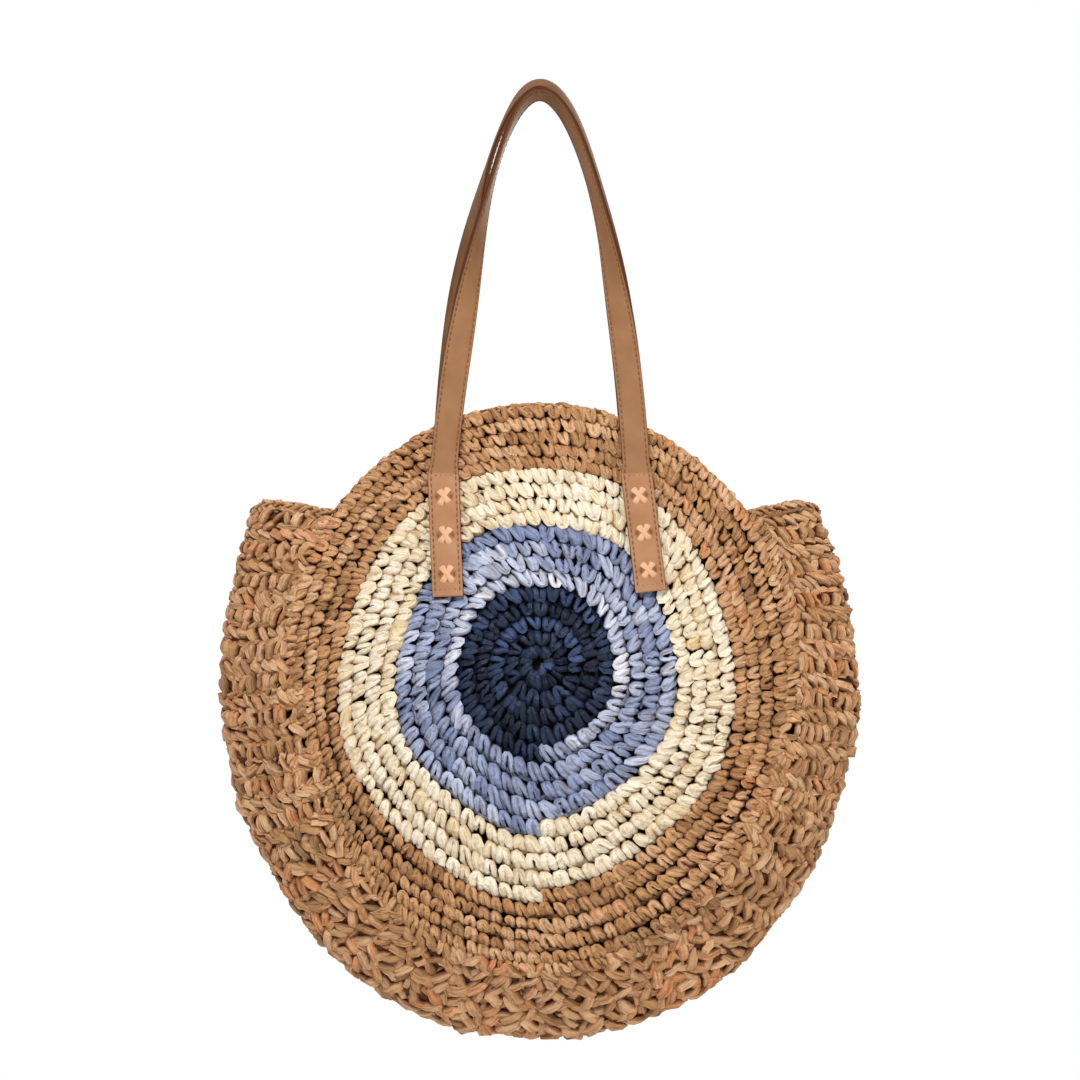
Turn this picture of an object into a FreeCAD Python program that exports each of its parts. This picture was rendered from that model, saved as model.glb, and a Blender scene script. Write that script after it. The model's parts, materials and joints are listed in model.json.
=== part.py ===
import FreeCAD, Part
import math
import os
from FreeCAD import Vector

# Round crocheted tote bag with two stitched leather handles, in millimetres.
# Two oval crochet panels are joined by a folded gusset that leaves the top open.
# Frame: +Z up, +X to the bearer's right seen from the front, the front faces -Y.
# The origin is the hanging point, under the tops of the handles.

# Crochet panels: oval, crowned, with rings of colour round an off-centre start
PANEL_WIDTH = 344.0
PANEL_HEIGHT = 370.0
PANEL_THICKNESS = 5.0
PANEL_CROWN = 20.0
SEAM_DEPTH = 80.0
CENTRE_WIDTH = 99.0
BLUE_WIDTH = 181.0
CREAM_WIDTH = 257.0
RING_START_RISE = 16.0

# Gusset: a crochet strip folded outwards along its middle, ear to ear under the bag
GUSSET_THICKNESS = 5.0
GUSSET_REACH_SIDE = 37.5
GUSSET_REACH_BOTTOM = 50.0
CREASE_RADIUS = 14.0
CREASE_CENTRE_DROP = 4.0
CREASE_UPPER_HEIGHT = 267.0
EAR_SEAM_ANGLE = 53.0
EAR_CREASE_ANGLE = 63.5

# Yarns that close the edges
RIM_BEAD_DIAMETER = 7.0
SEAM_YARN_DIAMETER = 3.2

# Cotton lining
LINING_THICKNESS = 0.8
LINING_GAP = 0.4
LINING_BELOW_RIM = 9.0

# Leather straps: a face layer glued to a backing layer
STRAP_WIDTH = 20.0
FACE_THICKNESS = 1.8
BACKING_THICKNESS = 1.3
GLUE_GAP = 0.1
HANDLE_SPREAD = 126.0
HANDLE_RISE = 252.0
BACK_HANDLE_EXTRA_RISE = 7.0
HANDLE_PEAK_POWER = 1.613
BACK_HANDLE_PEAK_POWER = 1.4
HANDLE_TWIST = 77.0
TWIST_START_SHARE = 0.38
TWIST_END_SHARE = 0.88
HANDLE_APEX_GAP = 5.0
RIM_TO_STRAP_GAP = 0.9
PANEL_TO_STRAP_GAP = 0.8
BAR_SEAM_BELOW_RIM = 35.0
FLEX_GAP = 0.4

# Sewn tabs: the strap ends, held to the panel by cross-laced thongs
LEFT_TAB_TILT = 2.4
RIGHT_TAB_TILT = 6.6
TAB_GAP = 0.3
CROSS_COUNT = 3
CROSS_PITCH = 25.4
FIRST_CROSS_BELOW_SEAM = 13.9
TAB_END_BELOW_CROSS = 14.5
CROSS_WIDTH = 6.2
CROSS_HEIGHT = 8.6
THONG_WIDTH = 3.2
THONG_THICKNESS = 1.1
THONG_GAP = 0.5
THONG_LEG_SHORT = 0.9

# Stations along the lofted pieces
GUSSET_SECTIONS = 25
HANDLE_SECTIONS = 41
BEAD_ARCS = 9
TAB_SECTIONS = 9

JOIN_GAP = 0.5
FULL_TURN = 360.0
HALF_WIDTH = PANEL_WIDTH / 2
HALF_HEIGHT = PANEL_HEIGHT / 2
EDGE_DEPTH = SEAM_DEPTH / 2
BEAD_RADIUS = RIM_BEAD_DIAMETER / 2
BACKWARD = Vector(0, 1, 0)
FORWARD = Vector(0, -1, 0)


def panel_face_depth(x, z):
    """Depth y of the front panel's outer face: an oval paraboloid, deepest at the middle."""
    return -(EDGE_DEPTH + PANEL_CROWN * (1 - (x / HALF_WIDTH) ** 2 - (z / HALF_HEIGHT) ** 2))


def panel_face_normal(x, z):
    """Outward unit normal of the front panel's outer face."""
    slope_x = 2 * PANEL_CROWN * x / HALF_WIDTH ** 2
    slope_z = 2 * PANEL_CROWN * z / HALF_HEIGHT ** 2
    return Vector(slope_x, -1, slope_z).normalize()


# Panels: a slab under one exact paraboloid patch, cut along its depth by upright ovals

def crown_slab(edge_depth, thickness):
    """Slab with a paraboloid outer face, whose depth on the panel's outline is the edge depth.

    The patch is quadratic both ways, so its middle poles carry the squares with a minus sign."""
    patch = Part.BezierSurface()
    patch.increase(2, 2)
    for i, (x, x_square) in enumerate(((-1, 1), (0, -1), (1, 1)), 1):
        for j, (z, z_square) in enumerate(((-1, 1), (0, -1), (1, 1)), 1):
            depth = -(edge_depth + PANEL_CROWN * (1 - x_square - z_square))
            patch.setPole(i, j, Vector(x * HALF_WIDTH, depth, z * HALF_HEIGHT))
    return patch.toShape().extrude(BACKWARD * thickness)


def depth_prism(edges):
    """Prism of a closed outline through the whole front half of the bag."""
    face = Part.Face(Part.Wire(edges))
    return face.extrude(BACKWARD * (EDGE_DEPTH + 2 * PANEL_CROWN))


def oval_prism(width, height, level=0.0):
    """Upright oval prism through the front half of the bag."""
    centre = Vector(0, -(EDGE_DEPTH + 2 * PANEL_CROWN), level)
    ends = [centre + Vector(0, 0, height / 2), centre + Vector(width / 2, 0, 0)]
    ends.sort(key=lambda end: (end - centre).Length, reverse=True)
    return depth_prism([Part.Ellipse(*ends, centre).toShape()])


def ring_prism(width):
    """Prism that bounds a ring of colour, about a start above the panel's centre."""
    share = width / PANEL_WIDTH
    return oval_prism(width, PANEL_HEIGHT * share, RING_START_RISE * (1 - share))


def mouth_cut(below_rim):
    """Wedge over the open top that trims a panel this far inside its outline."""
    front = -(EDGE_DEPTH + 2 * PANEL_CROWN)
    a = math.radians(EAR_SEAM_ANGLE)
    x = PANEL_WIDTH * math.sin(a)
    z = PANEL_HEIGHT * math.cos(a)
    corners = [(0, 0), (x, z), (x, PANEL_HEIGHT), (-x, PANEL_HEIGHT), (-x, z), (0, 0)]
    wedge = depth_prism(Part.makePolygon([Vector(cx, front, cz) for cx, cz in corners]).Edges)
    return wedge.cut(oval_prism(PANEL_WIDTH - 2 * below_rim, PANEL_HEIGHT - 2 * below_rim))


def round_bead(path, radius):
    """Bead of round section along tangent lines and arcs: rods and turned stretches, made one."""
    stretches = []
    for edge in path:
        start = edge.FirstParameter
        heading = edge.tangentAt(start)
        face = Part.Face(Part.Wire(Part.makeCircle(radius, edge.valueAt(start), heading)))
        if isinstance(edge.Curve, Part.Circle):
            turn = math.degrees(edge.LastParameter - start)
            stretches.append(face.revolve(edge.Curve.Center, edge.Curve.Axis, turn))
        else:
            stretches.append(face.extrude(heading * edge.Length))
    return stretches[0].multiFuse(stretches[1:]).removeSplitter()


def edge_bead(radius, inset, depth, start, end):
    """Bead along a stretch of the panel's outline, this far inside it, by angles from the top.

    Each arc leaves along the one before, so its end heading mirrors its start in the chord."""
    across = HALF_WIDTH - inset
    up = HALF_HEIGHT - inset
    first = math.radians(start)
    point = Vector(across * math.sin(first), depth, up * math.cos(first))
    heading = Vector(across * math.cos(first), 0, -up * math.sin(first)).normalize()
    arcs = []
    for i in range(1, BEAD_ARCS + 1):
        a = math.radians(start + (end - start) * i / BEAD_ARCS)
        target = Vector(across * math.sin(a), depth, up * math.cos(a))
        chord = target - point
        along = chord * (1 / chord.Length)
        bulge = heading - along * heading.dot(along)
        middle = point + chord * 0.5 + bulge * (chord.Length / 2 / (1 + heading.dot(along)))
        arcs.append(Part.Arc(point, middle, target).toShape())
        point = target
        heading = along * (2 * heading.dot(along)) - heading
    return round_bead(arcs, radius)


def panel_pieces():
    """The front panel's rings of colour, its rim edging and its seam yarn."""
    slab = crown_slab(EDGE_DEPTH, PANEL_THICKNESS)
    centre, blue, cream = (ring_prism(width) for width in (CENTRE_WIDTH, BLUE_WIDTH, CREAM_WIDTH))
    outline = oval_prism(PANEL_WIDTH, PANEL_HEIGHT).cut(mouth_cut(RIM_BEAD_DIAMETER + JOIN_GAP))
    seam_radius = SEAM_YARN_DIAMETER / 2
    bead_depth = PANEL_THICKNESS / 2 - EDGE_DEPTH
    seam_depth = -(EDGE_DEPTH + seam_radius + JOIN_GAP)
    rim_end = EAR_SEAM_ANGLE - math.degrees(BEAD_RADIUS / HALF_HEIGHT)
    return {
        "centre_disc": slab.common(centre),
        "blue_ring": slab.common(blue.cut(centre)),
        "cream_ring": slab.common(cream.cut(blue)),
        "tan_ring": slab.common(outline.cut(cream)),
        "rim_edging": edge_bead(BEAD_RADIUS, BEAD_RADIUS, bead_depth, -rim_end, rim_end),
        "seam_yarn": edge_bead(seam_radius, 0, seam_depth, EAR_SEAM_ANGLE, FULL_TURN - EAR_SEAM_ANGLE),
    }


def lining_panel():
    """Cotton lining behind a panel, trimmed below the rim."""
    slab = crown_slab(EDGE_DEPTH - PANEL_THICKNESS - LINING_GAP, LINING_THICKNESS)
    return slab.common(oval_prism(PANEL_WIDTH, PANEL_HEIGHT).cut(mouth_cut(LINING_BELOW_RIM)))


# Gusset: rounded-V sections from the seam out to the crease, lofted from ear to ear

def seam_point(angle):
    """Point of the panel's edge, at an angle from the top."""
    a = math.radians(angle)
    return Vector((HALF_WIDTH + JOIN_GAP) * math.sin(a), 0, (HALF_HEIGHT + JOIN_GAP) * math.cos(a))


def crease_point(angle):
    """Point of the gusset's outer crease, rounder below its widest level than above."""
    a = math.radians(angle)
    lower_height = HALF_HEIGHT + GUSSET_REACH_BOTTOM - CREASE_CENTRE_DROP
    height = CREASE_UPPER_HEIGHT if math.cos(a) > 0 else lower_height
    return Vector(
        (HALF_WIDTH + GUSSET_REACH_SIDE) * math.sin(a), 0, height * math.cos(a) - CREASE_CENTRE_DROP
    )


def gusset_station(share):
    """Seam point, outward direction and reach of the section this far from ear to ear."""
    seam = seam_point(EAR_SEAM_ANGLE + share * (FULL_TURN - 2 * EAR_SEAM_ANGLE))
    crease = crease_point(EAR_CREASE_ANGLE + share * (FULL_TURN - 2 * EAR_CREASE_ANGLE))
    outward = crease - seam
    return seam, outward * (1 / outward.Length), outward.Length


def rounded_v(share, inset):
    """Edges of the rounded V at a station, this far inside the gusset's outer face.

    A straight flank leaves the seam, touches the crease arc and mirrors back to the other seam."""
    seam, outward, reach = gusset_station(share)
    centre = reach - CREASE_RADIUS
    span = math.hypot(centre, EDGE_DEPTH)
    flank_angle = math.atan2(EDGE_DEPTH, centre) - math.asin(CREASE_RADIUS / span)
    radius = CREASE_RADIUS - inset
    start_depth = EDGE_DEPTH - inset / math.cos(flank_angle)
    touch_reach = centre + radius * math.sin(flank_angle)
    touch_depth = radius * math.cos(flank_angle)

    def place(along, depth):
        return seam + outward * along + BACKWARD * depth

    return [
        Part.makeLine(place(0, -start_depth), place(touch_reach, -touch_depth)),
        Part.Arc(
            place(touch_reach, -touch_depth), place(centre + radius, 0), place(touch_reach, touch_depth)
        ).toShape(),
        Part.makeLine(place(touch_reach, touch_depth), place(0, start_depth)),
    ]


def gusset_band(inset, thickness):
    """Folded band of even thickness, lofted from the right ear round to the left ear."""
    wires = []
    for i in range(GUSSET_SECTIONS):
        share = i / (GUSSET_SECTIONS - 1)
        outer = rounded_v(share, inset)
        inner = rounded_v(share, inset + thickness)
        ends = [
            Part.makeLine(outer[0].Vertexes[0].Point, inner[0].Vertexes[0].Point),
            Part.makeLine(outer[-1].Vertexes[-1].Point, inner[-1].Vertexes[-1].Point),
        ]
        wires.append(Part.Wire(Part.sortEdges(outer + inner + ends)[0]))
    return Part.makeLoft(wires, True, False)


def ear_edging(share, step):
    """Bead along the end row of the gusset, from one seam over the crease to the other."""
    _, outward, _ = gusset_station(share)
    along_strip = outward.cross(BACKWARD) * step
    bead = round_bead(rounded_v(share, GUSSET_THICKNESS / 2), BEAD_RADIUS)
    bead.translate(along_strip * (BEAD_RADIUS + JOIN_GAP))
    return bead


# Handles: strap sections carried along an arch that leans in over the mouth and twists at its top

STRAP_THICKNESS = FACE_THICKNESS + GLUE_GAP + BACKING_THICKNESS
HALF_STRAP = STRAP_THICKNESS / 2
HALF_SPREAD = HANDLE_SPREAD / 2
RIM_LEVEL = HALF_HEIGHT * math.sqrt(1 - (HALF_SPREAD / HALF_WIDTH) ** 2)
BAR_SEAM_LEVEL = RIM_LEVEL - BAR_SEAM_BELOW_RIM
STRAP_INNER_EDGE = HALF_SPREAD - STRAP_WIDTH / 2
BAR_SEAM_DEPTH = panel_face_depth(STRAP_INNER_EDGE, BAR_SEAM_LEVEL) - PANEL_TO_STRAP_GAP - HALF_STRAP
TAB_LENGTH = FIRST_CROSS_BELOW_SEAM + (CROSS_COUNT - 1) * CROSS_PITCH + TAB_END_BELOW_CROSS
RIM_DEPTH = PANEL_THICKNESS / 2 - EDGE_DEPTH - BEAD_RADIUS - RIM_TO_STRAP_GAP - HALF_STRAP
TWIST = math.radians(HANDLE_TWIST)
APEX_DEPTH = -(STRAP_WIDTH / 2 * math.sin(TWIST) + HALF_STRAP * math.cos(TWIST) + HANDLE_APEX_GAP / 2)


def lean_depth(level, apex_level):
    """Depth of the strap's middle: the parabola through the bar seam, the rim and the apex."""
    rise = level - BAR_SEAM_LEVEL
    first_slope = (RIM_DEPTH - BAR_SEAM_DEPTH) / (RIM_LEVEL - BAR_SEAM_LEVEL)
    upper_slope = (APEX_DEPTH - RIM_DEPTH) / (apex_level - RIM_LEVEL)
    bend = (upper_slope - first_slope) / (apex_level - BAR_SEAM_LEVEL)
    return BAR_SEAM_DEPTH + rise * (first_slope + bend * (level - RIM_LEVEL))


def arch_point(turn, rise, power):
    """Point of the strap's middle line, at a turn of 0 to 180 degrees from the right end to the left.

    The level grows as a power of the turn's sine: a higher power makes a narrower peak."""
    t = math.radians(turn)
    level = BAR_SEAM_LEVEL + rise * max(math.sin(t), 0) ** power
    return Vector(HALF_SPREAD * math.cos(t), lean_depth(level, BAR_SEAM_LEVEL + rise), level)


def handle_twist(turn):
    """Turn of the strap about its own length: none over the rim, growing smoothly on the way to the apex."""
    share = (math.sin(math.radians(turn)) - TWIST_START_SHARE) / (TWIST_END_SHARE - TWIST_START_SHARE)
    share = min(max(share, 0), 1)
    return TWIST * share * share * (3 - 2 * share)


def strap_frame(point, along, facing, twist):
    """Middle point, width direction and face direction of one strap section."""
    along = along.normalize()
    face = (facing - along * facing.dot(along)).normalize()
    outer = along.cross(face)
    width = outer * math.cos(twist) + face * math.sin(twist)
    front = face * math.cos(twist) - outer * math.sin(twist)
    return point, width, front


def arch_frames(rise, power):
    """Sections from the right flex line over the apex to the left one."""
    frames = []
    step = 0.25
    first = math.degrees(math.asin((FLEX_GAP / rise) ** (1 / power)))
    for i in range(HANDLE_SECTIONS):
        turn = first + i * (180 - 2 * first) / (HANDLE_SECTIONS - 1)
        ahead = arch_point(min(turn + step, 180), rise, power)
        behind = arch_point(max(turn - step, 0), rise, power)
        point = arch_point(turn, rise, power)
        frames.append(strap_frame(point, ahead - behind, FORWARD, handle_twist(turn)))
    return frames


def tab_frame(side, tilt, below_seam):
    """Section of a sewn tab, this far down its slope from the bar seam.

    It lies on the panel and lifts to meet the handle at the bar seam."""
    a = math.radians(tilt)
    x = side * HALF_SPREAD + below_seam * math.sin(a)
    z = BAR_SEAM_LEVEL - below_seam * math.cos(a)
    normal = panel_face_normal(x, z)
    lying = Vector(x, panel_face_depth(x, z), z) + normal * (TAB_GAP + HALF_STRAP)
    lifting = Vector(x, lean_depth(z, BAR_SEAM_LEVEL + HANDLE_RISE), z)
    lift = max(1 - max(below_seam, 0) / TAB_LENGTH, 0) ** 3
    along = Vector(-math.sin(a), 0, math.cos(a))
    return strap_frame(lying + (lifting - lying) * lift, along, normal + (FORWARD - normal) * lift, 0)


def strap_layer(frames, low, high):
    """Loft of one leather layer between two heights above the strap's middle."""
    wires = []
    for point, width, front in frames:
        left = width * (-STRAP_WIDTH / 2)
        right = width * (STRAP_WIDTH / 2)
        corners = [
            point + left + front * low,
            point + right + front * low,
            point + right + front * high,
            point + left + front * high,
        ]
        wires.append(Part.makePolygon(corners + corners[:1]))
    return Part.makeLoft(wires, True, False)


def strap_layers(frames):
    """The face and backing layers of a strap along the same frames."""
    face = strap_layer(frames, HALF_STRAP - FACE_THICKNESS, HALF_STRAP)
    backing = strap_layer(frames, -HALF_STRAP, -HALF_STRAP + BACKING_THICKNESS)
    return face, backing


# Cross lacing: two flat thongs to a cross, the second arched over the first

def thong_profile(bridge):
    """Staple outline of a thong: a bridge over the leather and two legs down through it."""
    half = math.hypot(CROSS_WIDTH, CROSS_HEIGHT) / 2
    outer = half + THONG_THICKNESS
    foot = -(STRAP_THICKNESS - THONG_LEG_SHORT)
    low = THONG_GAP
    shoulder = low + THONG_THICKNESS

    def at(along, height):
        return Vector(along, 0, height)

    return [
        Part.makeLine(at(-outer, foot), at(-outer, low)),
        Part.Arc(at(-outer, low), at(0, shoulder + bridge), at(outer, low)).toShape(),
        Part.makeLine(at(outer, low), at(outer, foot)),
        Part.makeLine(at(outer, foot), at(half, foot)),
        Part.makeLine(at(half, foot), at(half, low)),
        Part.Arc(at(half, low), at(0, low + bridge), at(-half, low)).toShape(),
        Part.makeLine(at(-half, low), at(-half, foot)),
        Part.makeLine(at(-half, foot), at(-outer, foot)),
    ]


def thong(bridge):
    """One thong, centred on the crossing, along X with its legs pointing down Z."""
    face = Part.Face(Part.Wire(thong_profile(bridge)))
    face.translate(Vector(0, -THONG_WIDTH / 2, 0))
    return face.extrude(Vector(0, THONG_WIDTH, 0))


def thong_slots():
    """The two slots that a thong's legs pass through."""
    half = math.hypot(CROSS_WIDTH, CROSS_HEIGHT) / 2 - THONG_GAP
    length = THONG_THICKNESS + 2 * THONG_GAP
    width = THONG_WIDTH + 2 * THONG_GAP
    height = 4 * STRAP_THICKNESS
    slot = Part.makeBox(length, width, height, Vector(half, -width / 2, -height / 2))
    return [slot, slot.mirror(Vector(0, 0, 0), Vector(1, 0, 0))]


def cross_placements(side, tilt):
    """Placements of both thongs of each cross: X along the thong, Z out of the leather."""
    lean = math.degrees(math.atan2(CROSS_WIDTH, CROSS_HEIGHT))
    found = []
    for i in range(CROSS_COUNT):
        below = FIRST_CROSS_BELOW_SEAM + i * CROSS_PITCH
        point, width, front = tab_frame(side, tilt, below)
        up = front.cross(width)
        turn = FreeCAD.Rotation(up, width * -1, front, "ZXY")
        for sign in (1, -1):
            spin = FreeCAD.Rotation(Vector(0, 0, 1), sign * lean)
            found.append((sign, FreeCAD.Placement(point + front * HALF_STRAP, turn.multiply(spin))))
    return found


def placed(shape, placement):
    """The shape turned and moved to its place."""
    return shape.transformed(placement.Matrix)


def above_bar_seam():
    """Block over the flex line, which trims the tabs level."""
    size = 2 * PANEL_WIDTH
    return Part.makeBox(size, size, size, Vector(-size / 2, -size / 2, BAR_SEAM_LEVEL - FLEX_GAP))


def sewn_tab(side, tilt):
    """Face, backing and cross lacing of one strap end."""
    overrun = STRAP_WIDTH * math.sin(math.radians(tilt)) + FLEX_GAP
    span = TAB_LENGTH + overrun
    frames = [
        tab_frame(side, tilt, span * i / (TAB_SECTIONS - 1) - overrun) for i in range(TAB_SECTIONS)
    ]
    face, backing = strap_layers(frames)
    thongs = []
    slots = []
    for sign, placement in cross_placements(side, tilt):
        bridge = THONG_THICKNESS + 2 * THONG_GAP if sign > 0 else THONG_GAP
        thongs.append(placed(thong(bridge), placement))
        slots += [placed(slot, placement) for slot in thong_slots()]
    cuts = slots + [above_bar_seam()]
    return {
        "tab_face": face.cut(cuts),
        "tab_backing": backing.cut(cuts),
        "cross_lacing": Part.makeCompound(thongs),
    }


# Assembly

def to_back(shape):
    """The matching piece on the back of the bag."""
    return shape.mirror(Vector(0, 0, 0), BACKWARD)


def bag_pieces():
    """Every node of the bag by name, about the panels' centre."""
    nodes = {}
    for name, shape in panel_pieces().items():
        nodes["front_" + name] = shape
        nodes["back_" + name] = to_back(shape)
    lining = lining_panel()
    nodes["lining_front"] = lining
    nodes["lining_back"] = to_back(lining)
    nodes["lining_gusset"] = gusset_band(GUSSET_THICKNESS + LINING_GAP, LINING_THICKNESS)
    nodes["gusset"] = gusset_band(0, GUSSET_THICKNESS)
    nodes["right_ear_edging"] = ear_edging(0, 1)
    nodes["left_ear_edging"] = ear_edging(1, -1)
    for side, label, tilt in ((-1, "left", LEFT_TAB_TILT), (1, "right", RIGHT_TAB_TILT)):
        for name, shape in sewn_tab(side, tilt).items():
            nodes["front_" + label + "_" + name] = shape
            nodes["back_" + label + "_" + name] = to_back(shape)
    face, backing = strap_layers(arch_frames(HANDLE_RISE, HANDLE_PEAK_POWER))
    nodes["front_handle_face"] = face
    nodes["front_handle_backing"] = backing
    back_rise = HANDLE_RISE + BACK_HANDLE_EXTRA_RISE
    face, backing = strap_layers(arch_frames(back_rise, BACK_HANDLE_PEAK_POWER))
    nodes["back_handle_face"] = to_back(face)
    nodes["back_handle_backing"] = to_back(backing)
    return nodes


def main():
    os.makedirs("parts", exist_ok=True)
    underside = STRAP_WIDTH / 2 * math.cos(TWIST) + HALF_STRAP * math.sin(TWIST)
    hang_level = BAR_SEAM_LEVEL + HANDLE_RISE - underside
    for name, shape in bag_pieces().items():
        shape.translate(Vector(0, 0, -hang_level))
        shape.exportStep("parts/" + name + ".step")
        print(f"{name}: solids {len(shape.Solids)}, valid {shape.isValid()}, volume {shape.Volume:.0f}")


main()
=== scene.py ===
import json
import math

import bpy
import numpy as np
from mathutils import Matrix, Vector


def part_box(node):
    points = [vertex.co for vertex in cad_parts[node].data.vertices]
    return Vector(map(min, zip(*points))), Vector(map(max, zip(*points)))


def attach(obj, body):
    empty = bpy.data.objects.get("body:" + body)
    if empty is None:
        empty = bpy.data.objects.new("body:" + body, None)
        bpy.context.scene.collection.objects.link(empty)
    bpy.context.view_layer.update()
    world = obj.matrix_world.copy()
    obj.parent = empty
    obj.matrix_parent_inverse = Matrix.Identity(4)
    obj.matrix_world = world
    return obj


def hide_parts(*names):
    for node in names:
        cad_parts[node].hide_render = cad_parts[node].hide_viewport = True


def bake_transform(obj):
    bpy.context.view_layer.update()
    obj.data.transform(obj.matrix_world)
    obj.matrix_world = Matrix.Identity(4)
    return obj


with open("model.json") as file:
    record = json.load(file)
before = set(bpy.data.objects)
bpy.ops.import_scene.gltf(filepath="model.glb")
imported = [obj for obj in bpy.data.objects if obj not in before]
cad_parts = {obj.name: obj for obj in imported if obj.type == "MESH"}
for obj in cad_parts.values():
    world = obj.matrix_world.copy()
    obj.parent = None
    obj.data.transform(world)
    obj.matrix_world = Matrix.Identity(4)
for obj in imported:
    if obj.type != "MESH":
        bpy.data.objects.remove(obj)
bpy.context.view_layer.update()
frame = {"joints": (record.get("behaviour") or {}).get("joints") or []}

# Round crocheted straw tote with stitched leather handles, dressed round its CAD frame.
# The front faces -Y. Lengths are in metres.

MM = 0.001
rng = np.random.default_rng(11)


def corners(node):
    """Lowest and highest corner of a CAD node, as arrays."""
    low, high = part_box(node)
    return np.array(low), np.array(high)


# Sizes read from the frame
tan_low, tan_high = corners("front_tan_ring")
rim_top = corners("front_rim_edging")[1][2]
navy_low, navy_high = corners("front_centre_disc")
gusset_low, gusset_high = corners("gusset")
joint_place = {joint["name"]: np.array(joint["pos_m"]) for joint in frame["joints"]}

HALF_WIDTH = tan_high[0]
HALF_HEIGHT = (rim_top - tan_low[2]) / 2
CENTRE_Z = (rim_top + tan_low[2]) / 2
EDGE_DEPTH = gusset_high[1]
CROWN = -navy_low[1] - EDGE_DEPTH
NAVY_SHARE, BLUE_SHARE, CREAM_SHARE = (
    corners("front_" + ring)[1][0] / HALF_WIDTH for ring in ("centre_disc", "blue_ring", "cream_ring")
)
START_RISE = ((navy_low[2] + navy_high[2]) / 2 - CENTRE_Z) / (1 - NAVY_SHARE)
BAR_SEAM_Z = joint_place["front_handle_fold"][2]

# Crochet fabric
FABRIC_MIDDLE = -2.7 * MM
RIM_RADIUS = 3.5 * MM
PANEL_THICKNESS = 5.0 * MM
EAR_SEAM_ANGLE = math.radians(53.0)
EAR_CREASE_ANGLE = math.radians(63.5)
CREASE_RADIUS = 14.0 * MM
CREASE_HALF_WIDTH = gusset_high[0]
CREASE_DROP = 4.0 * MM
CREASE_UPPER_HEIGHT = 267.0 * MM
CREASE_LOWER_HEIGHT = CENTRE_Z - CREASE_DROP - gusset_low[2]
LINING_DEPTH = -7.8 * MM
RIM_LINING_DEPTH = -6.2 * MM
GUSSET_LINING_DEPTH = -8.5 * MM
LINING_BELOW_RIM = 2.6 * MM

# Leather straps
STRAP_WIDTH = 20.0 * MM
FACE_THICKNESS = 1.8 * MM
BACKING_THICKNESS = 1.3 * MM
HALF_STRAP = 1.6 * MM
HALF_SPREAD = 63.0 * MM
FRONT_RISE = 251.2 * MM
BACK_RISE = 259.7 * MM
FRONT_PEAK_POWER = 1.613
BACK_PEAK_POWER = 1.4
FRONT_SWAY = (1.6 * MM, 1.6 * MM)
BACK_SWAY = (-1.0 * MM, 0.0)
TWIST = math.radians(70.0)
LEFT_EXTRA_TWIST = math.radians(16.0)
LEFT_EXTRA_PLACE = 2.05
LEFT_EXTRA_REACH = 0.28
TWIST_START = 0.38
TWIST_END = 0.88
APEX_GAP = 5.0 * MM
RIM_TO_STRAP = 0.9 * MM
PANEL_TO_STRAP = 0.8 * MM
TAB_SPREAD = 1.02
HANDLE_SPREAD = 0.89
NARROWING = 9.0 * MM
TAB_GAP = 0.3 * MM
LEFT_TILT = math.radians(2.4)
RIGHT_TILT = math.radians(6.6)
RIGHT_TAB_SHARE = 0.965
FIRST_CROSS = 13.9 * MM
CROSS_PITCH = 25.4 * MM
CROSS_COUNT = 3
TAB_LENGTH = FIRST_CROSS + (CROSS_COUNT - 1) * CROSS_PITCH + 14.5 * MM


def linear(code):
    """sRGB hex colour as linear RGBA."""
    shares = np.array([int(code[i:i + 2], 16) for i in (1, 3, 5)]) / 255
    shares = np.where(shares <= 0.04045, shares / 12.92, ((shares + 0.055) / 1.055) ** 2.4)
    return (*shares, 1.0)


def unit(vectors):
    """Vectors scaled to length one."""
    return vectors / np.maximum(np.linalg.norm(vectors, axis=-1, keepdims=True), 1e-12)


def smooth_step(share):
    """Eases from 0 to 1 with level ends."""
    share = np.clip(share, 0, 1)
    return share * share * (3 - 2 * share)


def from_top(angle):
    """Angle from the top, whichever way round is nearer."""
    return np.abs((angle + np.pi) % (2 * np.pi) - np.pi)


def running_length(line):
    """Distance from the start of a line of points to each of them."""
    return np.concatenate([[0], np.cumsum(np.linalg.norm(np.diff(line, axis=0), axis=1))])


def follow(along, distance, *lines):
    """Values, so far along, of each of the lines whose points lie at the given distances."""
    return (np.stack([np.interp(along, distance, line[:, i]) for i in range(3)], axis=-1) for line in lines)


# Materials

MULTIPLIED = {"data_type": "RGBA", "blend_type": "MULTIPLY"}
WAVE_LENGTH = 0.314  # length of one band in a wave pattern of scale one


def add(tree, kind, inputs=None, stops=(), **settings):
    """Adds a shader node with its settings, its inputs and its colour stops, as (place, hex colour) pairs.

    The inputs, named or numbered, are set or linked, and a node among them stands for its first output."""
    node = tree.nodes.new("ShaderNode" + kind)
    for name, value in settings.items():
        setattr(node, name, value)
    for name, value in (inputs or {}).items():
        if isinstance(value, bpy.types.Node):
            value = value.outputs[0]
        if isinstance(value, bpy.types.NodeSocket):
            tree.links.new(value, node.inputs[name])
        else:
            node.inputs[name].default_value = value
    if stops:
        elements = node.color_ramp.elements
        while len(elements) < len(stops):
            elements.new(1.0)
        for element, (place, code) in zip(elements, stops):
            element.position = place
            element.color = linear(code)
    return node


def new_material(name):
    """Empty node material and its tree."""
    material = bpy.data.materials.new(name)
    material.use_nodes = True
    material.node_tree.nodes.clear()
    return material, material.node_tree


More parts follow.
